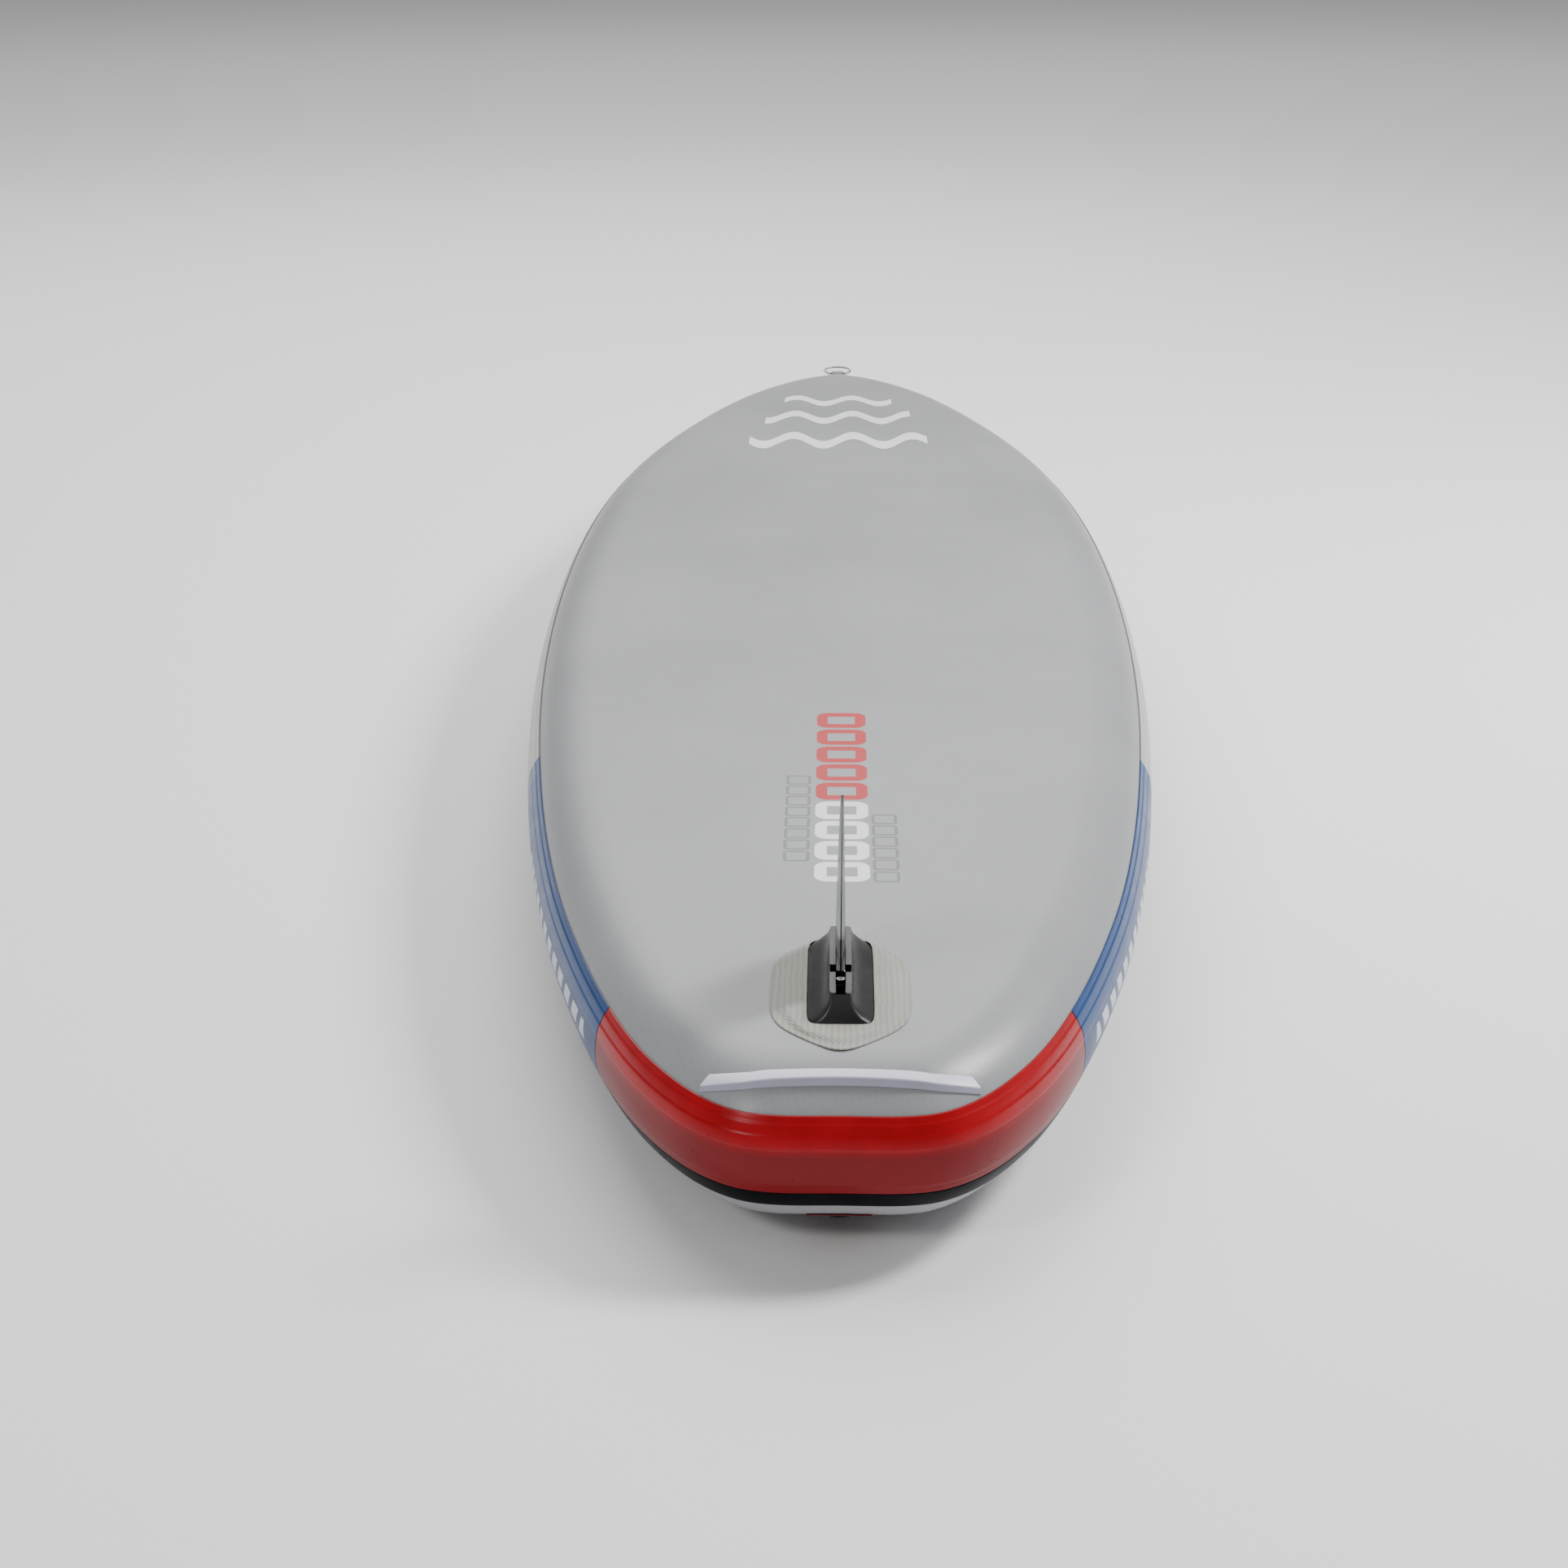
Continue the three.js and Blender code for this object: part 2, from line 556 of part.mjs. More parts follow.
// ---- towing and leash rings ----
// The D of a ring in its own plane: straight bar along x, bow reaching out along v.
function ringPoints(bar, direction, { halfBar, halfWidth, reach }) {
  const points = [];
  const put = (x, v) => points.push(bar.clone().add(new THREE.Vector3(x, 0, 0))
    .addScaledVector(direction, v));
  for (const x of [-halfBar, -halfBar / 3, halfBar / 3, halfBar]) put(x, 0);
  const bow = 11;
  for (let k = 0; k <= bow; k += 1) {
    const a = rad(-18 + (216 * k) / bow);
    put(halfWidth * Math.cos(a), reach * 0.42 + (reach * 0.58) * Math.sin(a));
  }
  return points;
}

function webbingLoop(halfWidth) {
  const { halfLength, top, bore } = loopSize;
  const shape = new THREE.Shape();
  shape.moveTo(-halfLength, -3.9);
  shape.lineTo(halfLength, -3.9);
  shape.quadraticCurveTo(halfLength, top, 0, top);
  shape.quadraticCurveTo(-halfLength, top, -halfLength, -3.9);
  const hole = new THREE.Path();
  hole.absarc(0, 0, bore, 0, 2 * Math.PI, true);
  shape.holes.push(hole);
  return new THREE.ExtrudeGeometry(shape, { depth: 2 * halfWidth, bevelEnabled: false, curveSegments: 6 })
    .rotateY(Math.PI / 2).rotateX(Math.PI / 2).translate(-halfWidth, 0, 0);
}

function buildNoseRing() {
  const near = stations.filter((t) => t >= (spans - 1) / spans);
  const round = [...near.map((t) => [t, 1]), ...[...near].reverse().slice(1).map((t) => [t, -1])];
  const angles = between(72, 53);
  const grid = (r) => round.map(([t, side]) => angles.map((a) => railPoint(t, a, r, side)));
  const shell = sheetSolid(grid(railRadius + gap + 0.9), grid(railRadius + gap), 'walled',
    (row) => row >= near.length - 1);
  add('nose_patch', shell, paint(0xb4b8ae, 0.6));
  const bar = railPoint(1, noseRing.angle, railRadius + noseRing.lift);
  const loop = webbingLoop(loopSize.halfWidth).rotateX(rad(noseRing.angle - 90))
    .translate(bar.x, bar.y, bar.z);
  add('nose_webbing_loop', loop, paint(0x9fa39a, 0.85));
  const direction = new THREE.Vector3(0, Math.cos(rad(noseRing.tilt)), Math.sin(rad(noseRing.tilt)));
  const normal = new THREE.Vector3(0, -direction.z, direction.y);
  add('nose_ring', tubeLoop(ringPoints(bar, direction, noseRing), ringWire, normal), steel());
}

function buildTailRing() {
  const deck = -boardThickness;
  const thick = 1;
  const wrap = (radius) => [-53, -62, -72, -81, -90].map((a) => {
    const p = railPoint(0, a, radius);
    return [p.y, p.z];
  });
  const outer = [...wrap(railRadius + 0.7 + thick), [128, deck - 0.7 - thick]];
  const inner = [...wrap(railRadius + 0.7), [128, deck - 0.7]].reverse();
  add('tail_patch', closedSolid(profileAcross([...outer, ...inner], -27, 27)), paint(0x7d1b26, 0.45));
  const bar = new THREE.Vector3(0, tailRing.y, deck - 0.7 - thick - gap - 3.9 - 0.1);
  const loop = webbingLoop(loopSize.halfWidth).rotateX(Math.PI).translate(bar.x, bar.y, bar.z);
  add('tail_webbing_loop', loop, webbing());
  const direction = new THREE.Vector3(0, -1, 0);
  const normal = new THREE.Vector3(0, 0, 1);
  add('tail_ring', tubeLoop(ringPoints(bar, direction, tailRing), ringWire, normal), steel());
}

// ---- deck pads, handle and valve, all on the underside as the board lies ----
// A sheet on the deck that follows the same stations as the skin, between two distances from x = 0.
function deckSheet(y0, y1, halfIn, halfOut, thickness, side = 1) {
  const rows = stations.map((t) => outlineAt(t).cy).filter((y) => y > y0 + 12 && y < y1 - 12);
  const layer = (depth) => [y0, ...rows, y1].map((y) => {
    const edge = Math.min(halfOut, flatHalfWidth(y) - padMargin);
    const z = deckFacetHeight(y) - depth;
    return [halfIn === null ? -edge : side * halfIn, side * edge]
      .map((x) => new THREE.Vector3(x, y, z));
  });
  return sheetSolid(layer(gap), layer(gap + thickness));
}

// Height of the faceted deck at y, straight between the stations on either side.
function deckFacetHeight(y) {
  const rows = stations.map((t) => outlineAt(t).cy);
  const k = rows.findIndex((r) => r > y);
  const [a, b] = [rows[k - 1], rows[k]];
  const mix = (y - a) / (b - a);
  return -boardThickness - ((1 - mix) * rocker(a) + mix * rocker(b));
}

function buildDeckPads() {
  const widest = 270;
  add('deck_pad_rear', deckSheet(...rearPad, null, widest, padThickness), eva());
  add('deck_pad_front', deckSheet(...frontPad, null, widest, padThickness), eva());
  add('deck_pad_left', deckSheet(...sidePad, handleWell, widest, padThickness, -1), eva());
  add('deck_pad_right', deckSheet(...sidePad, handleWell, widest, padThickness, 1), eva());
  const { y0, y1, halfWidth, height, frontHeight } = kickPad;
  const top = -boardThickness - 2 * gap - padThickness;
  const wedge = [[y0, top], [y1, top], [y1, top - frontHeight], [y0 + 44, top - height],
    [y0 + 12, top - height], [y0, top - height + 10]];
  add('kick_pad', closedSolid(profileAcross(wedge, -halfWidth, halfWidth)), paint(0x2c3e57, 0.9));
}

function strapCurve(offset) {
  const { y, halfLength, footLength, drop } = handle;
  const deck = deckFacetHeight(y);
  const points = [];
  const steps = 10;
  points.push([y - halfLength, 0]);
  points.push([y - halfLength + footLength, 0]);
  for (let k = 1; k < steps; k += 1) {
    const u = k / steps;
    const reach = 2 * (halfLength - footLength);
    points.push([y - halfLength + footLength + reach * u, drop * Math.sin(Math.PI * u) ** 0.8]);
  }
  points.push([y + halfLength - footLength, 0]);
  points.push([y + halfLength, 0]);
  return points.map(([py, d]) => [py, deck - 1.6 - 2.2 - d - offset]);
}

function buildHandle() {
  const { y, halfLength, footLength, halfWidth, strap } = handle;
  for (const [name, sign] of [['rear', -1], ['front', 1]]) {
    const middle = y + sign * (halfLength - footLength / 2);
    const slope = deckSheet(middle - 34, middle + 34, null, 30, 1.2);
    add(`handle_patch_${name}`, slope, paint(0x8c8990, 0.6));
  }
  const band = [...strapCurve(0), ...strapCurve(strap).reverse()];
  add('handle_strap', closedSolid(profileAcross(band, -halfWidth, halfWidth)), webbing());
  const grip = (o) => strapCurve(o).slice(4, 9);
  const sleeve = (inner, outer) => [...grip(inner), ...grip(outer).reverse()];
  const outerSleeve = profileAcross(sleeve(-4.4, strap + 4.4), -halfWidth - 4.4, halfWidth + 4.4);
  const inside = [...strapCurve(-0.4).slice(3, 10), ...strapCurve(strap + 0.4).slice(3, 10).reverse()];
  const hollow = profileAcross(inside, -halfWidth - 0.4, halfWidth + 0.4);
  add('handle_grip', cut(closedSolid(outerSleeve), closedSolid(hollow)), paint(0x222226, 0.9));
}

function buildValve() {
  const { flangeRadius: f, neckRadius: n, boreRadius: b } = valve;
  const t = skinThickness;
  add('valve_gasket', turned([[n + 0.5, -0.3], [f - 2, -0.3], [f - 2, -1.6], [n + 0.5, -1.6]]),
    paint(0x2a2a2a, 0.9));
  const seat = t + 16;
  const stemHole = 2.9;
  const shell = turned([[b, -6.5], [n + 2, -6.5], [f, -4.2], [f, -1.9], [n, -1.9], [n, seat],
    [stemHole, seat], [stemHole, seat - 2.2], [b, seat - 2.2]]);
  const airHoles = [0, 1, 2, 3].map((k) => {
    const a = (k * Math.PI) / 2;
    const z = seat - boardThickness;
    return rodZ(8.4 * Math.cos(a), valve.y + 8.4 * Math.sin(a), z - 4, z + 2, 2.4, 10);
  });
  add('valve_body', cut(shell, ...airHoles), paint(0x2b2d31, 0.45));
  add('valve_nut', turned([[n + 0.4, t + 0.5], [f - 1, t + 0.5], [f - 1, t + 6], [n + 0.4, t + 6]]),
    paint(0x3a3c40, 0.5));
  add('valve_seal', turned([[2.9, seat + 0.4], [12.5, seat + 0.4], [12.5, seat + 2.4],
    [2.9, seat + 2.4]]), paint(0x33261f, 0.85));
  add('valve_plunger', turned([[0, 2.5], [6, 2.5], [6, 4.5], [2.4, 4.5], [2.4, seat + 2.8],
    [8.5, seat + 2.8], [8.5, seat + 4.6], [0, seat + 4.6]]), paint(0x2e7fb8, 0.4));
  add('valve_spring', springGeometry(4.3, 0.55, 5.2, seat - 2.9, 5), steel());
  const cap = turned([[0, -9.6], [13, -9.6], [17, -11.5], [19.5, -11.2], [19.5, -6.9], [13.9, -6.9],
    [13.9, -1.2], [11.5, -1.2], [11.5, -7.2], [0, -7.2]]);
  const wing = box(-15, 15, valve.y - 1.5, valve.y + 1.5, -boardThickness - 13.6, -boardThickness - 9);
  add('valve_cap', join(cap, wing), paint(0x33353a, 0.5));
  const strip = roundedPlan(valve.y + 21.5, valve.y + f + 4, 4, 3);
  add('valve_cap_tether', plate(strip, -boardThickness - 9.2, -boardThickness - 7.6), paint(0x33353a, 0.6));
}

// A compression spring round the valve stem.
function springGeometry(radius, wire, h0, h1, turns) {
  const perTurn = 9;
  const rings = Array.from({ length: turns * perTurn + 1 }, (_, k) => {
    const a = (k / perTurn) * 2 * Math.PI;
    const h = h0 + wire + ((h1 - h0 - 2 * wire) * k) / (turns * perTurn);
    return Array.from({ length: 5 }, (_, j) => {
      const b = (j / 5) * 2 * Math.PI;
      const r = radius + wire * Math.cos(b);
      return new THREE.Vector3(r * Math.cos(a), valve.y + r * Math.sin(a),
        -boardThickness + h + wire * Math.sin(b));
    });
  });
  return loft(rings);
}

buildHull();
buildTapes();
buildReleaseEdge();
buildFinBox();
buildFin();
buildNoseRing();
buildTailRing();
buildDeckPads();
buildHandle();
buildValve();

// ---- how the board lies ----
// The pitch at which the nose and the kick pad come down to the same height.
function lowest(geometry, pitch) {
  const p = geometry.attributes.position;
  let low = Infinity;
  for (let k = 0; k < p.count; k += 1) {
    low = Math.min(low, p.getY(k) * Math.sin(pitch) + p.getZ(k) * Math.cos(pitch));
  }
  return low;
}

function restPitch() {
  const deck = board.getObjectByName('deck_skin').geometry;
  const kick = board.getObjectByName('kick_pad').geometry;
  let low = 0;
  let high = 0.1;
  for (let k = 0; k < 40; k += 1) {
    const mid = (low + high) / 2;
    if (lowest(deck, mid) < lowest(kick, mid)) low = mid;
    else high = mid;
  }
  return (low + high) / 2;
}

const pitch = restPitch();
board.rotation.x = pitch;
board.position.z = -lowest(board.getObjectByName('kick_pad').geometry, pitch);
board.updateMatrixWorld(true);
const extent = new THREE.Box3().setFromObject(board, true);
board.position.y = -(extent.min.y + extent.max.y) / 2;

const part = new THREE.Group();
part.add(board);
export default part;
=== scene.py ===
import json
import math

import bmesh
import bpy
import numpy as np
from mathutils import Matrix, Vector


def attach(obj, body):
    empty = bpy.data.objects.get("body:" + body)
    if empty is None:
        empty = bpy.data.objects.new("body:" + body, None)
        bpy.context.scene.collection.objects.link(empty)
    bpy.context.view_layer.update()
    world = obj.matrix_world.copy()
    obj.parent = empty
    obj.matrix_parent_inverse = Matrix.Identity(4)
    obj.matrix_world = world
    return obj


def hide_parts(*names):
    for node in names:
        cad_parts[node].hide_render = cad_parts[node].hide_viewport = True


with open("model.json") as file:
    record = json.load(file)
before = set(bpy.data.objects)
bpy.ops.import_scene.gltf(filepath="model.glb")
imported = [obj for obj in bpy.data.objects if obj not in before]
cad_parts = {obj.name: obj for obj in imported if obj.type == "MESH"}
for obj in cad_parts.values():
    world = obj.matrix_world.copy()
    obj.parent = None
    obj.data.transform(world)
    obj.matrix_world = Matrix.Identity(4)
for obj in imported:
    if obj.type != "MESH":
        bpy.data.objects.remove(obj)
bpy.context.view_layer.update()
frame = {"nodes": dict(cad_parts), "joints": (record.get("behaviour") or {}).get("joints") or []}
joints = {joint["name"]: joint for joint in frame["joints"]}
scene = bpy.context.scene
deg = math.pi / 180
print("frame loaded:", len(frame["nodes"]), "nodes")

# Everything below is worked out in the board's own frame, in millimetres: y = 0 at the tail end,
# z = 0 on the flat of the hull, x = 0 on the centre plane. The board lies pitched on its kick pad.
boardShape = {
    "length": 3200, "thickness": 152, "noseRocker": 150, "rockerStart": 0.4, "rockerPower": 2.3,
    "template": [[10, 92], [95, 170], [380, 273], [860, 352], [1410, 379.5],
                 [1980, 349], [2500, 256], [2880, 165], [3105, 84]],  # distance from the tail, half width
    "skin": 1.6, "seamAngle": 8, "stationsPerSpan": 26,
}
railRadius = boardShape["thickness"] / 2
pitchAngle = math.atan2(joints["fin_slide"]["axis"][2], joints["fin_slide"]["axis"][1])
screwSpot = {"y": 152.5, "z": 20}   # seat of the fin screw in the board's frame
screwWorld = joints["fin_screw_turn"]["pos_m"]
cosP, sinP = math.cos(pitchAngle), math.sin(pitchAngle)
origin = np.array([
    0.0,
    screwWorld[1] - (screwSpot["y"] * cosP - screwSpot["z"] * sinP) / 1000,
    screwWorld[2] - (screwSpot["y"] * sinP + screwSpot["z"] * cosP) / 1000,
])


# world = origin + R(pitch) p / 1000
def toWorld(points):
    p = np.asarray(points, float)
    y = p[..., 1] * cosP - p[..., 2] * sinP
    z = p[..., 1] * sinP + p[..., 2] * cosP
    return np.stack([p[..., 0], y, z], axis=-1) / 1000 + origin


def toBoard(point):
    d = (np.asarray(point, float) - origin) * 1000
    return np.array([d[0], d[1] * cosP + d[2] * sinP, -d[1] * sinP + d[2] * cosP])


# closed centripetal Catmull-Rom curve through points, read at u in 0..1:
# c0 + c1 w + c2 w^2 + c3 w^3 in each span, with knots spaced by the square root of the distance
def loopCurve(points, u):
    pts = np.asarray(points, float)
    n = len(pts)
    s = np.mod(np.asarray(u, float), 1.0) * n
    k = np.floor(s).astype(int) % n
    w = (s - np.floor(s))[..., None]
    a, b, c, d = pts[(k - 1) % n], pts[k], pts[(k + 1) % n], pts[(k + 2) % n]

    def knot(p, q):
        return np.sqrt(np.linalg.norm(q - p, axis=-1))[..., None]
    t0, t1, t2 = knot(a, b), knot(b, c), knot(c, d)
    m1 = ((b - a) / t0 - (c - a) / (t0 + t1) + (c - b) / t1) * t1
    m2 = ((c - b) / t1 - (d - b) / (t1 + t2) + (d - c) / t2) * t1
    return b + m1 * w + (3 * (c - b) - 2 * m1 - m2) * w**2 + (2 * (b - c) + m1 + m2) * w**3


half = np.array(boardShape["template"], float)[:, ::-1]
loop = np.vstack([[0, 0], half, [0, boardShape["length"]], (half * [-1, 1])[::-1]])
spans = len(half) + 1


# rocker(y) = noseRocker ((y / length - start) / (1 - start))^power
def rocker(y):
    s = np.clip((np.asarray(y) / boardShape["length"] - boardShape["rockerStart"])
                / (1 - boardShape["rockerStart"]), 0, 1.2)
    return boardShape["noseRocker"] * s ** boardShape["rockerPower"]


# half outline: t = 0 at the tail end, 1 at the nose; the rail's centre lies a rail radius inside
def outlineAt(t):
    u = np.asarray(t, float) / 2
    p = loopCurve(loop, u)
    q = loopCurve(loop, u + 1e-5) - loopCurve(loop, u - 1e-5)
    q /= np.linalg.norm(q, axis=-1, keepdims=True)
    nx, ny = q[..., 1], -q[..., 0]
    centreX = np.maximum(p[..., 0] - railRadius * nx, 0)
    return p[..., 1], nx, ny, centreX, p[..., 1] - railRadius * ny


# rail point = centre + r (n cos a, sin a), with a counted up from the middle of the rail
def railPoint(t, angle, radius, side=1):
    y, nx, ny, cx, cy = outlineAt(t)
    out = radius * np.cos(np.asarray(angle) * deg)
    py = cy + out * ny
    pz = -rocker(py) - railRadius + radius * np.sin(np.asarray(angle) * deg)
    return np.stack(np.broadcast_arrays(side * (cx + out * nx), py, pz), axis=-1)


tFine = np.linspace(0, 1, 4001)
outlineTable = outlineAt(tFine)


def flatHalfWidth(y):
    return np.interp(y, outlineTable[4], outlineTable[3])


def stationAt(y):
    return np.interp(y, outlineTable[0], tFine)


def deckHeight(y):
    return -boardShape["thickness"] - rocker(y)


# smooth step: 0 below a, 1 above b, 3s^2 - 2s^3 between
def ease(x, a, b):
    s = np.clip((np.asarray(x, float) - a) / (b - a), 0, 1)
    return s * s * (3 - 2 * s)


# from grids of points to closed pieces
def finishMesh(name, points, faces, uv=None, sharp=35):
    mesh = bpy.data.meshes.new(name)
    mesh.from_pydata(toWorld(points).tolist(), [], faces.tolist())
    if uv is not None:
        layer = mesh.uv_layers.new(name="UVMap")
        corner = np.zeros(len(mesh.loops), np.int32)
        mesh.loops.foreach_get("vertex_index", corner)
        layer.data.foreach_set("uv", np.asarray(uv, np.float32)[corner].ravel())
    bm = bmesh.new()
    bm.from_mesh(mesh)
    bmesh.ops.remove_doubles(bm, verts=bm.verts, dist=2e-6)
    bmesh.ops.dissolve_degenerate(bm, edges=bm.edges, dist=1e-6)
    if bm.calc_volume(signed=True) < 0:
        bmesh.ops.reverse_faces(bm, faces=bm.faces)
    bm.to_mesh(mesh)
    bm.free()
    mesh.shade_smooth()
    mesh.set_sharp_from_angle(angle=sharp * deg)
    piece = bpy.data.objects.new(name, mesh)
    scene.collection.objects.link(piece)
    return piece


# rings[i, k]: closed sections one after another. ends: "capped", "joined" (last to first) or "folded"
# (each end section is already shut on itself). A cap pairs point k with point m - 1 - k.
def ringSolid(name, rings, ends="capped", uv=None, sharp=35):
    rings = np.asarray(rings, float)
    n, m = rings.shape[:2]
    rows = np.arange(n if ends == "joined" else n - 1)
    i, k = np.meshgrid(rows, np.arange(m), indexing="ij")
    a, b = i * m + k, i * m + (k + 1) % m
    up = ((i + 1) % n) * m
    faces = [np.stack([a, b, up + (k + 1) % m, up + k], axis=-1).reshape(-1, 4)]
    if ends == "capped":
        j = np.arange(m // 2 - 1)
        first = np.stack([m - 1 - j, m - 2 - j, j + 1, j], axis=-1)
        faces += [first, (n - 1) * m + first[:, ::-1]]
    flatUv = None if uv is None else np.asarray(uv, float).reshape(-1, 2)
    return finishMesh(name, rings.reshape(-1, 3), np.concatenate(faces), flatUv, sharp)


# takes the cutters' volume out of the piece
def carve(piece, cutters):
    for cutter in cutters:
        tool = piece.modifiers.new("carve", "BOOLEAN")
        tool.object, tool.operation, tool.solver = cutter, "DIFFERENCE", "EXACT"
    graph = bpy.context.evaluated_depsgraph_get()
    graph.update()
    carved = bpy.data.meshes.new_from_object(piece.evaluated_get(graph))
    piece.modifiers.clear()
    piece.data = carved
    carved.shade_smooth()
    carved.set_sharp_from_angle(angle=30 * deg)
    for cutter in cutters:
        bpy.data.objects.remove(cutter)
    return piece


def boxRings(x0, x1, y0, y1, z0, z1, bevel=0.0):
    b = bevel
    plan = [[x0 + b, y0], [x1 - b, y0], [x1, y0 + b], [x1, y1 - b], [x1 - b, y1], [x0 + b, y1],
            [x0, y1 - b], [x0, y0 + b]]
    mid = np.array([(x0 + x1) / 2, (y0 + y1) / 2])
    rings = []
    for inset, z in ((b, z0), (0, z0 + b), (0, z1 - b), (b, z1)):
        p = np.array(plan, float)
        p -= np.sign(p - mid) * inset
        rings.append(np.column_stack([p, np.full(len(p), z)]))
    return np.array(rings)


# circle of radius r about (x, y), from z0 to z1
def rodRings(x, y, r, z0, z1, sides=64):
    a = np.arange(sides) / sides * 2 * np.pi
    return np.array([np.column_stack([x + r * np.cos(a), y + r * np.sin(a), np.full(sides, z)])
                     for z in (z0, z1)])


# rounded polygon: every side is a half plane n.p <= c, and the outline is where the p-norm of
# all (n.p / c) that are above zero comes to 1
def roundedPolygon(directions, sides, power):
    d = np.asarray(directions, float)
    total = sum(np.clip((d @ np.array(n, float)) / c, 0, None) ** power for n, c in sides)
    return d / total[..., None] ** (1 / power)


def rectangleSides(halfX, back, front):
    return [((1, 0), halfX), ((-1, 0), halfX), ((0, 1), front), ((0, -1), back)]


# materials
class NodeDesk:
    def __init__(self, tree):
        self.tree = tree

    def new(self, kind, **values):
        node = self.tree.nodes.new(kind)
        for key, value in values.items():
            setattr(node, key, value)
        return node

    def put(self, socket, value):
        if isinstance(value, bpy.types.NodeSocket):
            self.tree.links.new(value, socket)
        else:
            socket.default_value = value

    def math(self, operation, *values):
        node = self.new("ShaderNodeMath", operation=operation)
        for socket, value in zip(node.inputs, values):
            self.put(socket, value)
        return node.outputs[0]

    def mix(self, factor, a, b):
        node = self.new("ShaderNodeMix", data_type="RGBA")
        self.put(node.inputs[0], factor)
        self.put(node.inputs[6], a)
        self.put(node.inputs[7], b)
        return node.outputs[2]

    def noise(self, vector, scale, detail=3.0, roughness=0.55):
        node = self.new("ShaderNodeTexNoise")
        self.put(node.inputs["Vector"], vector)
        self.put(node.inputs["Scale"], scale)
        node.inputs["Detail"].default_value = detail
        node.inputs["Roughness"].default_value = roughness
        return node.outputs["Fac"]

    def group(self, tree, **values):
        node = self.new("ShaderNodeGroup", node_tree=tree)
        for key, value in values.items():
            self.put(node.inputs[key], value)
        return node


def newGroup(name, inputs, outputs):
    tree = bpy.data.node_groups.new(name, "ShaderNodeTree")
    for label, value in inputs.items():
        socket = tree.interface.new_socket(name=label, in_out="INPUT", socket_type="NodeSocketFloat")
        socket.default_value = value
    for label in outputs:
        tree.interface.new_socket(name=label, in_out="OUTPUT", socket_type="NodeSocketFloat")
    desk = NodeDesk(tree)
    return tree, desk, desk.new("NodeGroupInput").outputs, desk.new("NodeGroupOutput").inputs


def objectAxes(desk):
    place = desk.new("ShaderNodeTexCoord").outputs["Object"]
    split = desk.new("ShaderNodeSeparateXYZ")
    desk.put(split.inputs[0], place)
    return place, split.outputs


# woven cloth under a coating: height = sin(2 pi x / pitch) sin(2 pi y / pitch), softened by noise
def makeWeaveGroup():
    tree, desk, given, out = newGroup("coatedWeave", {"Pitch": 0.0026, "Turn": 0.6}, ["Height", "Cloud"])
    place, axes = objectAxes(desk)
    turned = desk.new("ShaderNodeVectorRotate", rotation_type="Z_AXIS")
    desk.put(turned.inputs["Vector"], place)
    desk.put(turned.inputs["Angle"], given["Turn"])
    split = desk.new("ShaderNodeSeparateXYZ")
    desk.put(split.inputs[0], turned.outputs[0])
    waves = []
    for axis in (0, 1):
        phase = desk.math("DIVIDE", split.outputs[axis], given["Pitch"])
        waves.append(desk.math("SINE", desk.math("MULTIPLY", phase, 2 * math.pi)))
    weave = desk.math("MULTIPLY", waves[0], waves[1])
    fleck = desk.noise(place, 700.0, 2.0)
    desk.put(out["Height"], desk.math("ADD", desk.math("MULTIPLY", weave, 0.35), fleck))
    desk.put(out["Cloud"], desk.noise(place, 3.2, 4.0))
    return tree


# moulded or brushed surfaces: noise stretched along one axis, with a slow cloud of wear
def makeGrainGroup():
    tree, desk, given, out = newGroup("mouldedGrain", {"Scale": 400.0, "Stretch": 1.0}, ["Height", "Cloud"])
    place, axes = objectAxes(desk)
    join = desk.new("ShaderNodeCombineXYZ")
    desk.put(join.inputs[0], axes[0])
    desk.put(join.inputs[1], desk.math("DIVIDE", axes[1], given["Stretch"]))
    desk.put(join.inputs[2], axes[2])
    desk.put(out["Height"], desk.noise(join.outputs[0], given["Scale"], 3.0))
    desk.put(out["Cloud"], desk.noise(place, 28.0, 4.0))
    return tree


# webbing: ribs across the strap's UV, offset by half a rib in every second row
def makeWebbingGroup():
    tree, desk, given, out = newGroup("wovenRibs", {"Rib": 1.6}, ["Height", "Cloud"])
    where = desk.new("ShaderNodeUVMap", uv_map="UVMap").outputs[0]
    split = desk.new("ShaderNodeSeparateXYZ")
    desk.put(split.inputs[0], where)
    across = desk.math("MULTIPLY", desk.math("DIVIDE", split.outputs[0], given["Rib"]), math.pi)
    along = desk.math("MULTIPLY", desk.math("DIVIDE", split.outputs[1], given["Rib"]), math.pi)
    ribs = desk.math("MULTIPLY", desk.math("SINE", desk.math("ADD", along, across)),
                     desk.math("SINE", desk.math("SUBTRACT", along, across)))
    desk.put(out["Height"], ribs)
    desk.put(out["Cloud"], desk.noise(where, 0.25, 3.0))
    return tree


weaveGroup, grainGroup, webbingGroup = makeWeaveGroup(), makeGrainGroup(), makeWebbingGroup()
patterns = {"weave": weaveGroup, "grain": grainGroup, "webbing": webbingGroup}


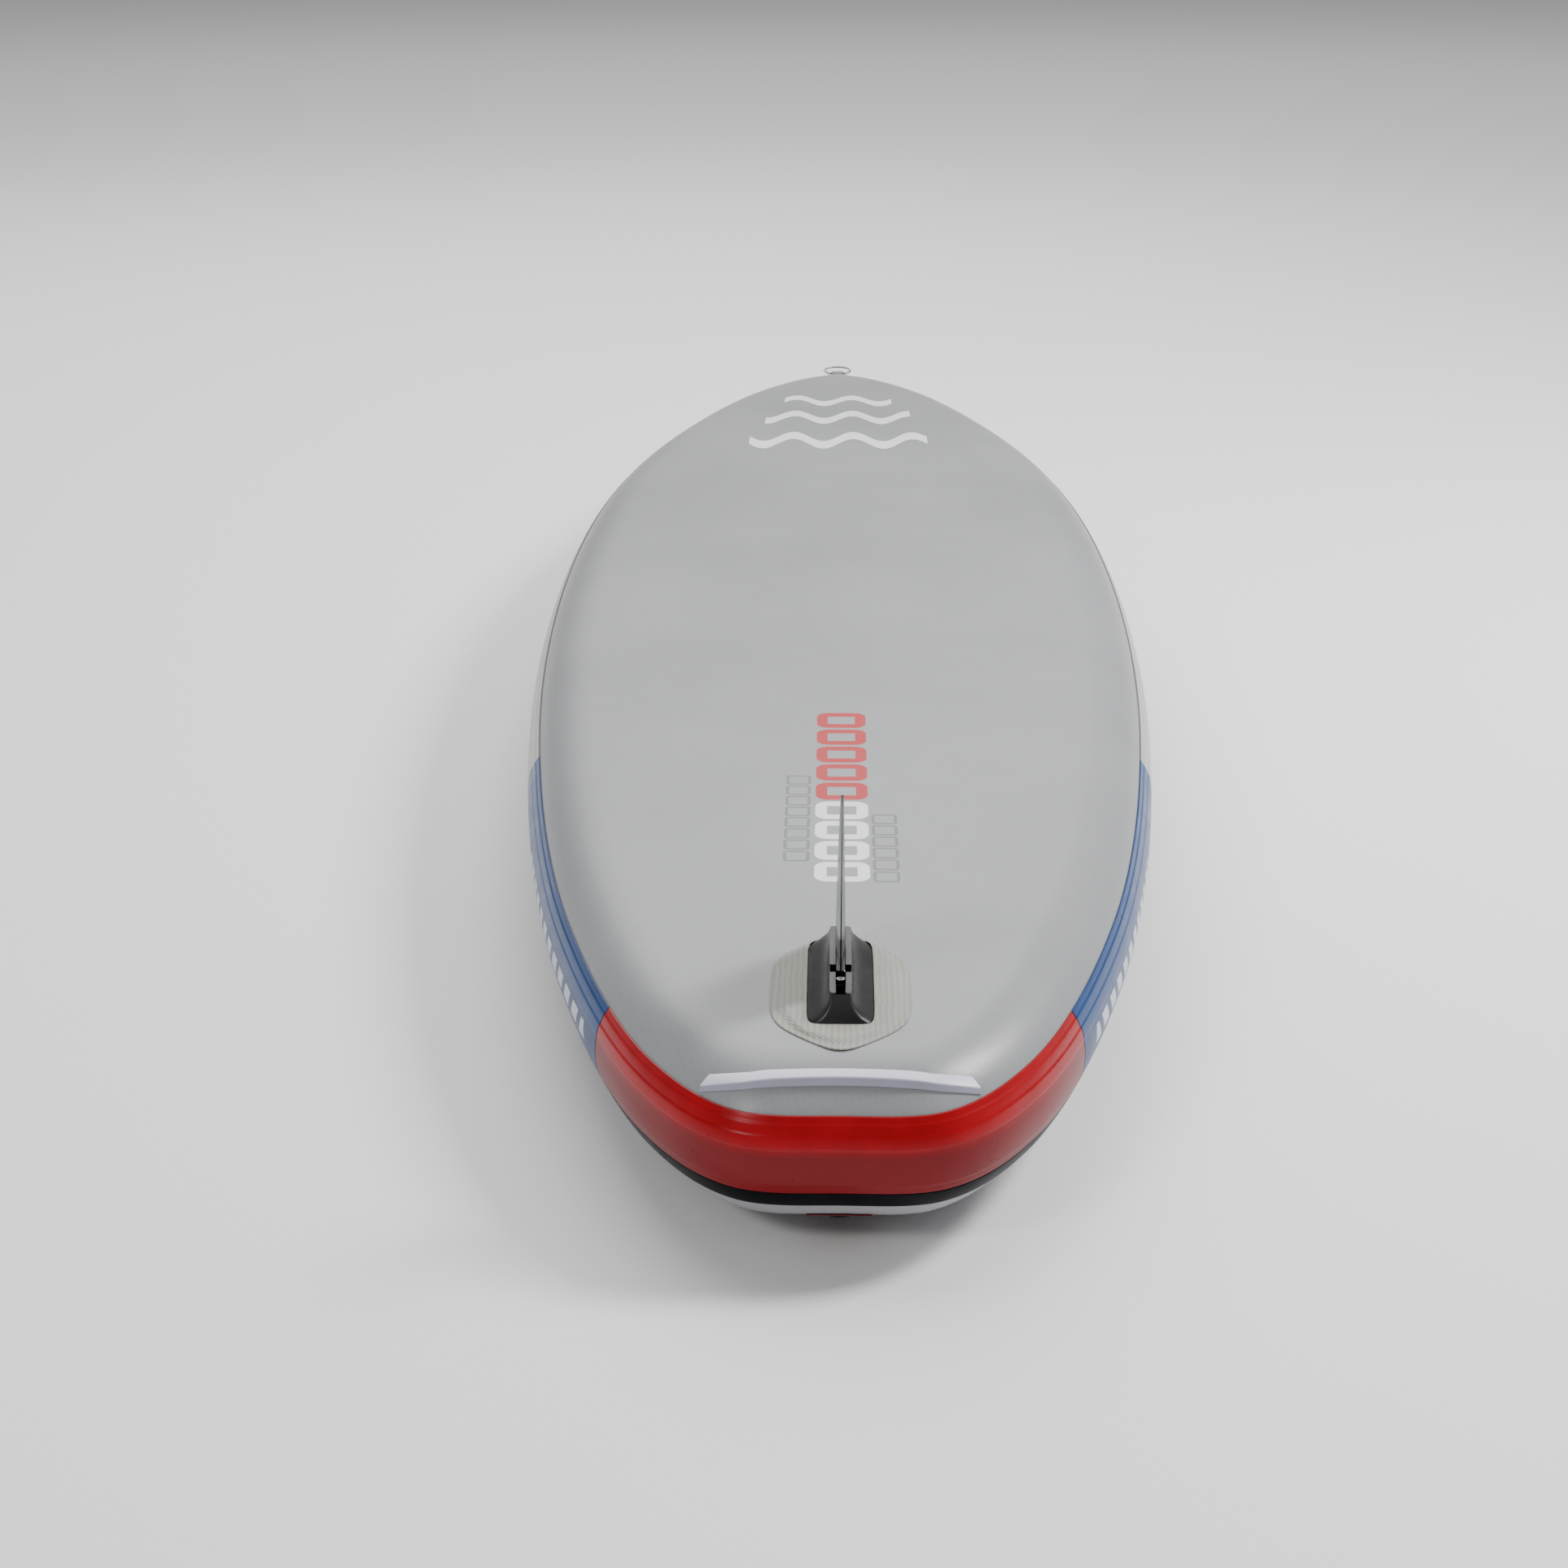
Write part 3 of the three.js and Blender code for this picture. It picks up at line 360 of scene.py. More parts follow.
# One finish: colour drifts between two tones, roughness between two values, bump from the pattern.
def makeMaterial(name, look, paint=None):
    material = bpy.data.materials.new(name)
    material.use_nodes = True
    desk = NodeDesk(material.node_tree)
    shader = material.node_tree.nodes["Principled BSDF"]
    pattern = desk.group(patterns[look["pattern"]], **look.get("values", {}))
    cloud = desk.new("ShaderNodeMapRange")
    desk.put(cloud.inputs["Value"], pattern.outputs["Cloud"])
    cloud.inputs["From Min"].default_value = 0.35
    cloud.inputs["From Max"].default_value = 0.65
    tone = desk.mix(cloud.outputs[0], (*look["dark"], 1), (*look["light"], 1))
    if paint:
        tone = paint(desk, tone)
    desk.put(shader.inputs["Base Color"], tone)
    rough = desk.new("ShaderNodeMapRange")
    desk.put(rough.inputs["Value"], pattern.outputs["Cloud"])
    rough.inputs["From Min"].default_value = 0.3
    rough.inputs["From Max"].default_value = 0.7
    rough.inputs["To Min"].default_value, rough.inputs["To Max"].default_value = look["rough"]
    desk.put(shader.inputs["Roughness"], rough.outputs[0])
    bump = desk.new("ShaderNodeBump")
    bump.inputs["Strength"].default_value = look["bump"]
    bump.inputs["Distance"].default_value = look.get("depth", 0.0004)
    desk.put(bump.inputs["Height"], pattern.outputs["Height"])
    desk.put(shader.inputs["Normal"], bump.outputs[0])
    shader.inputs["Metallic"].default_value = look.get("metal", 0.0)
    shader.inputs["Sheen Weight"].default_value = look.get("sheen", 0.0)
    shader.inputs["Specular IOR Level"].default_value = look.get("shine", 0.5)
    return material


def finish(piece, material, body, *nodes, slot=None):
    piece.data.materials.clear()
    piece.data.materials.append(material)
    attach(piece, body)
    if nodes:
        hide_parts(*nodes)
    return piece


# printed shapes on the hull: rows of open links and three waves, all plain
graphics = {
    "white": {"x": 2, "halfX": 27, "from": 402, "to": 606, "count": 4, "stroke": 12.0, "corner": 7},
    "red": {"x": 2, "halfX": 27, "from": 606, "to": 865, "count": 5, "stroke": 12.0, "corner": 7},
    "greyLeft": {"x": -43, "halfX": 13, "from": 450, "to": 676, "count": 8, "stroke": 3.2, "corner": 3},
    "greyRight": {"x": 45, "halfX": 13, "from": 402, "to": 572, "count": 6, "stroke": 3.2, "corner": 3},
    "whiteColour": (0.92, 0.93, 0.94), "redColour": (0.5, 0.006, 0.012), "greyColour": (0.13, 0.14, 0.15),
    "waves": [{"y": 2180, "halfX": 143}, {"y": 2400, "halfX": 122}, {"y": 2600, "halfX": 94}],
    "waveHeight": 40, "waveLength": 96, "waveStroke": 62,
}
edgeSoft = 0.0006   # metres over which a printed edge fades


# mask of a row of open rounded links: 1 where |distance to the link's outline| < stroke / 2
def linkRow(desk, x, y, look):
    step = (look["to"] - look["from"]) / look["count"] / 1000
    localX = desk.math("ABSOLUTE", desk.math("SUBTRACT", x, look["x"] / 1000))
    along = desk.math("SUBTRACT", y, look["from"] / 1000)
    wrapped = desk.math("SUBTRACT", desk.math("FLOORED_MODULO", along, step), step / 2)
    localY = desk.math("ABSOLUTE", wrapped)
    corner, stroke = look["corner"] / 1000, look["stroke"] / 1000
    reachX = look["halfX"] / 1000 - stroke / 2 - corner
    reachY = step / 2 * 0.9 - stroke / 2 - corner
    qx = desk.math("MAXIMUM", desk.math("SUBTRACT", localX, max(reachX, 0)), 0.0)
    qy = desk.math("MAXIMUM", desk.math("SUBTRACT", localY, max(reachY, 0)), 0.0)
    length = desk.math("SQRT", desk.math("ADD", desk.math("MULTIPLY", qx, qx), desk.math("MULTIPLY", qy, qy)))
    off = desk.math("SUBTRACT", desk.math("ABSOLUTE", desk.math("SUBTRACT", length, corner)), stroke / 2)
    line = inkEdge(desk, off)
    inside = desk.math("MULTIPLY", desk.math("GREATER_THAN", along, 0.0),
                       desk.math("LESS_THAN", along, (look["to"] - look["from"]) / 1000))
    return desk.math("MULTIPLY", line, inside)


def inkEdge(desk, distance):
    fade = desk.math("SUBTRACT", 0.5, desk.math("DIVIDE", distance, edgeSoft))
    return desk.math("MINIMUM", desk.math("MAXIMUM", fade, 0.0), 1.0)


# mask of one wave: |y - y0 - h sin(2 pi x / l)| < stroke / 2, inside |x| < halfX
def waveLine(desk, x, y, look):
    phase = desk.math("MULTIPLY", x, 2 * math.pi * 1000 / graphics["waveLength"])
    crest = desk.math("MULTIPLY", desk.math("SINE", phase), graphics["waveHeight"] / 1000)
    off = desk.math("ABSOLUTE", desk.math("SUBTRACT", desk.math("SUBTRACT", y, look["y"] / 1000), crest))
    line = inkEdge(desk, desk.math("SUBTRACT", off, graphics["waveStroke"] / 2000))
    side = inkEdge(desk, desk.math("SUBTRACT", desk.math("ABSOLUTE", x), look["halfX"] / 1000))
    return desk.math("MULTIPLY", line, side)


def makePrintGroup():
    tree, desk, given, out = newGroup("hullPrint", {"TailEnd": float(origin[1])}, ["White", "Red", "Grey"])
    place, axes = objectAxes(desk)
    x, y = axes[0], desk.math("SUBTRACT", axes[1], given["TailEnd"])
    worn = desk.math("GREATER_THAN", desk.noise(place, 420.0, 2.0), 0.36)
    waves = [waveLine(desk, x, y, look) for look in graphics["waves"]]
    white = desk.math("MAXIMUM", linkRow(desk, x, y, graphics["white"]),
                      desk.math("MAXIMUM", waves[0], desk.math("MAXIMUM", waves[1], waves[2])))
    wear = desk.math("ADD", desk.math("MULTIPLY", worn, 0.15), 0.85)
    desk.put(out["White"], desk.math("MULTIPLY", white, wear))
    desk.put(out["Red"], linkRow(desk, x, y, graphics["red"]))
    desk.put(out["Grey"], desk.math("MAXIMUM", linkRow(desk, x, y, graphics["greyLeft"]),
                                    linkRow(desk, x, y, graphics["greyRight"])))
    return tree


def paintHull(desk, tone):
    ink = desk.group(printGroup).outputs
    threads = desk.group(weaveGroup, Pitch=0.009, Turn=0.5).outputs["Height"]
    tone = desk.mix(desk.math("MULTIPLY", threads, 0.14), tone, (0.16, 0.165, 0.175, 1))
    tone = desk.mix(desk.math("MULTIPLY", ink["Grey"], 0.75), tone, (*graphics["greyColour"], 1))
    tone = desk.mix(ink["Red"], tone, (*graphics["redColour"], 1))
    return desk.mix(ink["White"], tone, (*graphics["whiteColour"], 1))


printGroup = makePrintGroup()


# tapes carry their own UV: u = millimetres along, v = degrees round the rail
def paintTape(edgeLineAndLowShade, dashes=False):
    def paint(desk, tone):
        where = desk.new("ShaderNodeUVMap", uv_map="UVMap").outputs[0]
        split = desk.new("ShaderNodeSeparateXYZ")
        desk.put(split.inputs[0], where)
        edge = desk.math("GREATER_THAN", split.outputs[1], tapes["top"] - edgeLineAndLowShade["width"])
        line = desk.math("MULTIPLY", edge, edgeLineAndLowShade["strength"])
        tone = desk.mix(line, tone, (*edgeLineAndLowShade["colour"], 1))
        # painted shade: below the lower layer's edge the tape is mixed towards a darker tone, partly the second
        # layer's real deeper colour and partly painted shade on the lower part of the rail
        low = desk.new("ShaderNodeMapRange")
        desk.put(low.inputs["Value"], split.outputs[1])
        low.inputs["From Min"].default_value, low.inputs["From Max"].default_value = tapes["lowerLayerAndShade"]
        low.inputs["To Min"].default_value, low.inputs["To Max"].default_value = edgeLineAndLowShade["lower"], 0.0
        tone = desk.mix(low.outputs[0], tone, (*edgeLineAndLowShade["lowerLayerAndShadeTone"], 1))
        if dashes:
            mask = dashMask(desk, split.outputs[0], split.outputs[1])
            tone = desk.mix(mask, tone, (*dashLook["colour"], 1))
        return tone
    return paint


dashLook = {"colour": (0.7, 0.74, 0.82), "spacing": 34.0, "share": 0.62, "low": -6.0, "high": 8.0,
            "from": 40.0, "to": 420.0}


# plain dashes along the tape: 1 where frac(u / spacing) < share, between two angles and two lengths
def dashMask(desk, u, v):
    part = desk.math("FRACT", desk.math("DIVIDE", desk.math("ADD", u, desk.math("MULTIPLY", v, 0.8)),
                                        dashLook["spacing"]))
    mask = desk.math("LESS_THAN", part, dashLook["share"])
    for socket, low, high in ((v, dashLook["low"], dashLook["high"]), (u, dashLook["from"], dashLook["to"])):
        mask = desk.math("MULTIPLY", mask, desk.math("GREATER_THAN", socket, low))
        mask = desk.math("MULTIPLY", mask, desk.math("LESS_THAN", socket, high))
    return desk.math("MULTIPLY", mask, 0.8)


tapes = {
    "top": 34.5, "bottom": -18.9, "stripeTop": -18.9, "stripeBottom": -32.5, "lift": 0.3, "thickness": 1.0,
    # angles over which the darker lower band fades out: part real second-layer colour, part painted shade
    "lowerLayerAndShade": (8.0, 15.0), "redEnd": 198, "blueEnd": 805, "jointGap": 1.5, "columns": 64,
    "layers": [[29.5, 1.0, 0.55], [22.0, 1.2, 0.6], [13.5, 1.2, -0.55], [-12.0, 1.0, -0.35]],
}

tapeGrain = {"Scale": 90.0, "Stretch": 6.0}
fineGrain = {"Scale": 500.0, "Stretch": 1.0}
wireGrain = {"Scale": 500.0, "Stretch": 9.0}
foamGrain = {"Scale": 900.0, "Stretch": 1.0}
looks = {
    "hull": {"pattern": "weave", "dark": (0.30, 0.305, 0.315), "light": (0.335, 0.34, 0.35),
             "rough": (0.3, 0.36), "bump": 0.3, "depth": 0.0003, "shine": 0.4},
    "deck": {"pattern": "weave", "dark": (0.34, 0.34, 0.36), "light": (0.38, 0.38, 0.4),
             "rough": (0.4, 0.5), "bump": 0.25, "depth": 0.0003, "shine": 0.3},
    "redTape": {"pattern": "grain", "values": tapeGrain, "dark": (0.33, 0.001, 0.006),
                "light": (0.4, 0.001, 0.008), "rough": (0.27, 0.31), "bump": 0.03, "shine": 0.22},
    "blueTape": {"pattern": "grain", "values": tapeGrain, "dark": (0.01, 0.045, 0.165),
                 "light": (0.014, 0.06, 0.2), "rough": (0.26, 0.36), "bump": 0.05, "shine": 0.2},
    "greyTape": {"pattern": "grain", "values": tapeGrain, "dark": (0.42, 0.425, 0.41),
                 "light": (0.47, 0.475, 0.46), "rough": (0.3, 0.4), "bump": 0.1, "shine": 0.3},
    "blackTape": {"pattern": "grain", "values": tapeGrain, "dark": (0.002, 0.002, 0.003),
                  "light": (0.004, 0.004, 0.006), "rough": (0.3, 0.4), "bump": 0.05, "shine": 0.06},
    "edgeStrip": {"pattern": "grain", "values": {"Scale": 300.0, "Stretch": 1.0}, "dark": (0.68, 0.67, 0.8),
                  "light": (0.74, 0.73, 0.86), "rough": (0.3, 0.4), "bump": 0.05, "shine": 0.4},
    "patch": {"pattern": "weave", "values": {"Pitch": 0.0042, "Turn": 0.0}, "dark": (0.36, 0.36, 0.325),
              "light": (0.41, 0.41, 0.37), "rough": (0.5, 0.6), "bump": 0.7, "depth": 0.0006, "shine": 0.3},
    "redPatch": {"pattern": "weave", "dark": (0.11, 0.002, 0.005), "light": (0.15, 0.003, 0.007),
                 "rough": (0.4, 0.5), "bump": 0.3, "shine": 0.3},
    "finBox": {"pattern": "grain", "values": {"Scale": 160.0, "Stretch": 7.0}, "dark": (0.012, 0.0115, 0.012),
               "light": (0.02, 0.019, 0.02), "rough": (0.22, 0.34), "bump": 0.16, "shine": 0.4},
    "fin": {"pattern": "grain", "values": {"Scale": 120.0, "Stretch": 2.0}, "dark": (0.003, 0.003, 0.004),
            "light": (0.006, 0.006, 0.007), "rough": (0.14, 0.22), "bump": 0.04, "shine": 0.3},
    "blackSteel": {"pattern": "grain", "values": wireGrain, "dark": (0.006, 0.006, 0.007),
                   "light": (0.012, 0.012, 0.013), "rough": (0.3, 0.42), "bump": 0.06, "shine": 0.4},
    "steel": {"pattern": "grain", "values": wireGrain, "dark": (0.3, 0.3, 0.31),
              "light": (0.42, 0.42, 0.43), "rough": (0.2, 0.34), "bump": 0.06, "metal": 1.0},
    "blackWebbing": {"pattern": "webbing", "dark": (0.012, 0.012, 0.014), "light": (0.022, 0.022, 0.025),
                     "rough": (0.7, 0.85), "bump": 0.8, "sheen": 0.15},
    "greyWebbing": {"pattern": "webbing", "dark": (0.36, 0.38, 0.34), "light": (0.43, 0.45, 0.4),
                    "rough": (0.7, 0.85), "bump": 0.8, "sheen": 0.15},
    "deckFoam": {"pattern": "grain", "values": foamGrain, "dark": (0.05, 0.15, 0.31),
                 "light": (0.065, 0.18, 0.36), "rough": (0.78, 0.9), "bump": 0.5, "sheen": 0.1},
    "kickFoam": {"pattern": "grain", "values": foamGrain, "dark": (0.025, 0.05, 0.1),
                 "light": (0.035, 0.065, 0.125), "rough": (0.78, 0.9), "bump": 0.5, "sheen": 0.1},
    "neoprene": {"pattern": "webbing", "values": {"Rib": 0.9}, "dark": (0.014, 0.014, 0.016),
                 "light": (0.024, 0.024, 0.027), "rough": (0.75, 0.9), "bump": 0.5, "sheen": 0.3},
    "valveShell": {"pattern": "grain", "values": fineGrain, "dark": (0.03, 0.033, 0.037),
                   "light": (0.045, 0.048, 0.053), "rough": (0.38, 0.5), "bump": 0.2},
    "valveBlue": {"pattern": "grain", "values": fineGrain, "dark": (0.02, 0.2, 0.45),
                  "light": (0.03, 0.24, 0.5), "rough": (0.3, 0.4), "bump": 0.1},
    "sealRubber": {"pattern": "grain", "values": {"Scale": 600.0, "Stretch": 1.0}, "dark": (0.02, 0.018, 0.016),
                   "light": (0.03, 0.027, 0.024), "rough": (0.7, 0.85), "bump": 0.2},
    "sideWall": {"pattern": "weave", "dark": (0.05, 0.05, 0.055), "light": (0.07, 0.07, 0.075),
                 "rough": (0.6, 0.7), "bump": 0.4},
    "yarn": {"pattern": "grain", "values": {"Scale": 1500.0, "Stretch": 1.0}, "dark": (0.7, 0.69, 0.66),
             "light": (0.8, 0.79, 0.76), "rough": (0.85, 0.95), "bump": 0.6},
}
# painted shade: the face turned to the tail is painted a darker lavender, as if in shade: 0 before u = 0.7, 1
# after 0.76
def paintEdgeShade(desk, tone):
    split = desk.new("ShaderNodeSeparateXYZ")
    desk.put(split.inputs[0], desk.new("ShaderNodeUVMap", uv_map="UVMap").outputs[0])
    ramp = desk.new("ShaderNodeMapRange")
    desk.put(ramp.inputs["Value"], split.outputs[1])
    ramp.inputs["From Min"].default_value, ramp.inputs["From Max"].default_value = 0.7, 0.76
    return desk.mix(ramp.outputs[0], tone, (0.34, 0.34, 0.43, 1))


# threads of the patch: bands along the board, 1 where sin(2 pi x / pitch) is high, uneven by noise
def paintPatch(desk, tone):
    place, axes = objectAxes(desk)
    bend = desk.math("MULTIPLY", desk.noise(place, 30.0, 2.0), 0.006)
    x = desk.math("ADD", axes[0], bend)
    wave = desk.math("SINE", desk.math("MULTIPLY", x, 2 * math.pi / 0.0052))
    return desk.mix(desk.math("MULTIPLY", desk.math("ADD", wave, 1.0), 0.22), tone, (0.24, 0.235, 0.2, 1))


paints = {
    "patch": paintPatch, "hull": paintHull, "edgeStrip": paintEdgeShade,
    # the last two values of each tape set the strength and tone of its darker lower band: part real second-layer
    # colour, part painted shade
    "redTape": paintTape({"width": 0.5, "strength": 0.5, "colour": (0.1, 0.004, 0.006),
                          "lower": 0.8, "lowerLayerAndShadeTone": (0.15, 0.001, 0.004)}),
    "blueTape": paintTape({"width": 0.5, "strength": 0.5, "colour": (0.01, 0.02, 0.05),
                           "lower": 0.5, "lowerLayerAndShadeTone": (0.012, 0.025, 0.1)}, dashes=True),
    "greyTape": paintTape({"width": 0.9, "strength": 0.8, "colour": (0.09, 0.075, 0.065),
                           "lower": 0.3, "lowerLayerAndShadeTone": (0.3, 0.3, 0.29)}),
}
materials = {name: makeMaterial(name, look, paints.get(name)) for name, look in looks.items()}
print("materials made:", len(materials))

# the two skins
stations = np.linspace(0, 1, spans * boardShape["stationsPerSpan"] + 1)


# skin section: port rail from the seam up, straight across the flat, starboard rail down to the seam
def skinSections(sign, radius, railSteps=18, flatSteps=14):
    angles = np.linspace(boardShape["seamAngle"], 90, railSteps) * sign
    star = railPoint(stations[:, None], angles[None, :], radius)
    portRail = star * [-1, 1, 1]
    w = np.linspace(-1, 1, flatSteps + 2)[None, 1:-1, None]
    top = star[:, -1:, :]
    level = np.broadcast_to(top[..., 1:], (len(stations), flatSteps, 2))
    flat = np.concatenate([top[..., :1] * w, level], axis=-1)
    return np.concatenate([portRail, flat, star[:, ::-1]], axis=1)


def makeSkin(name, sign):
    outer = skinSections(sign, railRadius)
    inner = skinSections(sign, railRadius - boardShape["skin"])
    return ringSolid(name, np.concatenate([outer, inner[:, ::-1]], axis=1), "folded", sharp=50)


finish(makeSkin("hullSkin", 1), materials["hull"], "board", "hull_skin", slot="hull_pvc")
valveLook = {"y": 165, "neck": 22}
deckSkin = makeSkin("deckSkin", -1)
neckHole = ringSolid("neckHole", rodRings(0, valveLook["y"], valveLook["neck"] + 0.5, -170, -140))
finish(carve(deckSkin, [neckHole]), materials["deck"], "board", "deck_skin", slot="deck_pvc")
print("skins made")


# rail tapes
# height over the rail: a base thickness with rounded edges, plus one soft step per overlapping layer
def tapeHeight(angle, top, bottom, layers):
    edge = 1.1
    round0 = np.sqrt(np.clip(1 - (1 - np.clip((top - angle) / edge, 0, 1)) ** 2, 0, 1))
    round1 = np.sqrt(np.clip(1 - (1 - np.clip((angle - bottom) / edge, 0, 1)) ** 2, 0, 1))
    height = tapes["thickness"] * np.minimum(round0, round1)
    for start, width, step in layers:
        height = height + step * ease(-angle, -start, -start + width)
    return np.maximum(height, 0.02)


def tapeSections(t, side, top, bottom, layers):
    angles = np.linspace(top, bottom, tapes["columns"])
    base = railRadius + tapes["lift"]
    outer = railPoint(t[:, None], angles[None, :], base + tapeHeight(angles, top, bottom, layers)[None, :])
    inner = railPoint(t[:, None], angles[None, ::-1], base)
    rings = np.concatenate([outer, inner], axis=1)
    y = outlineAt(t)[0]
    u = np.broadcast_to((y - y[0])[:, None], rings.shape[:2])
    v = np.broadcast_to(np.concatenate([angles, angles[::-1]])[None, :], rings.shape[:2])
    return rings * [side, 1, 1], np.stack([u, v], axis=-1)


def tapeStations(y0, y1, count):
    t0 = stationAt(y0) if y0 > 0 else 0.0
    t1 = stationAt(y1) if y1 < boardShape["length"] else 1.0
    return np.linspace(t0, t1, count)


# the joined halves of a piece that goes round the tail: port half reversed, then starboard
def roundTail(t, top, bottom, layers):
    port, uvPort = tapeSections(t[::-1], -1, top, bottom, layers)
    star, uvStar = tapeSections(t, 1, top, bottom, layers)
    return np.concatenate([port[:-1], star]), np.concatenate([uvPort[:-1], uvStar])


tapeSpan = (tapes["top"], tapes["bottom"], tapes["layers"])
rings, uv = roundTail(tapeStations(0, tapes["redEnd"] - tapes["jointGap"] / 2, 90), *tapeSpan)
finish(ringSolid("railTapeTail", rings, uv=uv), materials["redTape"], "board", "rail_tape_tail",
       slot="tape_red")
for sideName, side in (("left", -1), ("right", 1)):
    for part, ends, count, material, slotName in (
        ("mid", (tapes["redEnd"], tapes["blueEnd"]), 90, "blueTape", "tape_blue"),
        ("fore", (tapes["blueEnd"], boardShape["length"]), 190, "greyTape", "tape_grey"),
    ):
        y0 = ends[0] + tapes["jointGap"] / 2
        y1 = ends[1] - (tapes["jointGap"] / 2 if part == "mid" else 0)
        rings, uv = tapeSections(tapeStations(y0, y1, count), side, *tapeSpan)
        if part == "fore":
            rings[..., 0] = side * np.maximum(np.abs(rings[..., 0]), 0.3)
        piece = ringSolid(f"railTape_{sideName}_{part}", rings, uv=uv)
        finish(piece, materials[material], "board", f"rail_tape_{sideName}_{part}", slot=slotName)

tAll = np.linspace(0, 1, 240)
port, _ = tapeSections(tAll[::-1], -1, tapes["stripeTop"], tapes["stripeBottom"], [])
star, _ = tapeSections(tAll, 1, tapes["stripeTop"], tapes["stripeBottom"], [])
stripe = ringSolid("railStripe", np.concatenate([star, port[1:-1]]), "joined")
finish(stripe, materials["blackTape"], "board", "rail_stripe", slot="stripe_black")
print("tapes made")

# release edge
releaseLook = {"endY": 37, "front": 66.0, "rear": 53.2, "height": 6.6, "endHeight": 3.2, "fall": 17.0,
               "crest": 0.68}


# wedge section: rises evenly from the front edge to the crest and drops to the rear edge; along
# the path the whole section slides down the rail by fall |u|^3
def releaseEdge():
    look = releaseLook
    tEnd = stationAt(look["endY"])
    u = np.linspace(-1, 1, 121)[:, None]
    s = np.linspace(0, 1, 23)
    crest = look["crest"]
    rise = np.clip(s / crest, 0, 1)
    shape = np.where(s < crest, rise ** 0.7, 1 - 0.75 * (s - crest) / (1 - crest))
    angles = look["front"] + (look["rear"] - look["front"]) * s
    shift = look["fall"] * np.abs(u) ** 3
    height = (look["height"] + (look["endHeight"] - look["height"]) * np.abs(u) ** 2) * shape[None, :] + 0.05
    t = np.abs(u) * tEnd
    outer = railPoint(t, angles[None, :] - shift, railRadius + 0.4 + height)
    inner = railPoint(t, angles[None, ::-1] - shift, railRadius + 0.4)
    rings = np.concatenate([outer, inner], axis=1)
    rings[..., 0] *= np.where(u < 0, -1, 1)
    across = np.concatenate([s, s[::-1]])
    uv = np.stack(np.broadcast_arrays(u * 150, across[None, :]), axis=-1)
    return ringSolid("releaseEdge", rings, uv=uv, sharp=24)


finish(releaseEdge(), materials["edgeStrip"], "board", "release_edge", slot="edge_white")

# fin patch and fin box
patchLook = {"centre": 180, "halfWidth": 62, "rearApex": 54, "frontApex": 299, "rearSide": 111,
             "frontSide": 234,
             "power": 8, "window": (29.4, 76.4, 86.4), "layerEnd": 0.86, "rise": 2.9, "sheet": 1.0}
boxLook = {"y0": 104, "y1": 266, "halfWidth": 29, "ridgeHalf": 10, "height": 26, "foot": 3.4, "scoop": 15,
           "slot": (118, 243, 4.4, 4.6), "notch": (159, 173.5, 9.4), "trackFloor": 9.0}


def slantSide(sideY, apexY):
    look = patchLook
    n = np.array([abs(apexY - sideY), look["halfWidth"] * math.copysign(1, apexY - sideY)])
    n /= np.linalg.norm(n)
    return n, n[1] * (apexY - look["centre"])


def patchSides():
    front, frontReach = slantSide(patchLook["frontSide"], patchLook["frontApex"])
    rear, rearReach = slantSide(patchLook["rearSide"], patchLook["rearApex"])
    mirror = np.array([-1, 1])
    w = patchLook["halfWidth"]
    return [((1, 0), w), ((-1, 0), w), (front, frontReach), (front * mirror, frontReach),
            (rear, rearReach), (rear * mirror, rearReach)]


# sheet between the window round the fin box and the six-sided outline: plan = (1 - v) window + v outline;
# it is lifted over the second layer and the buried flange of the fin box
def finPatch():
    look = patchLook
    a = np.arange(360) / 360 * 2 * np.pi
    directions = np.column_stack([0.62 * np.cos(a), np.sin(a)])
    window = roundedPolygon(directions, rectangleSides(*look["window"]), 9)
    outline = roundedPolygon(directions, patchSides(), look["power"])
    v = np.concatenate([np.linspace(0, 0.97, 44), [0.985, 0.995, 1.0]])[:, None, None]
    plan = window[None] * (1 - v) + outline[None] * v
    lift = look["rise"] * (1 - ease(v[..., 0], look["layerEnd"] - 0.3, look["layerEnd"]))
    edge = np.sqrt(np.clip(1 - ((v[..., 0] - 0.97) / 0.03).clip(0, 1) ** 2, 0, 1))
    top = np.broadcast_to(0.35 + lift + look["sheet"] * edge, plan.shape[:2])
    bottom = np.broadcast_to(0.3 + lift * edge, plan.shape[:2])
    y = plan[..., 1] + look["centre"]
    upper = np.stack([plan[..., 0], y, top], axis=-1)
    lower = np.stack([plan[..., 0], y, np.minimum(bottom, top - 0.02)], axis=-1)
    return ringSolid("finPatch", np.concatenate([upper, lower[::-1]]), "joined", sharp=60)


patch = finPatch()
finish(patch, materials["patch"], "board", "fin_patch_top", "fin_patch_base", slot="patch_grey")


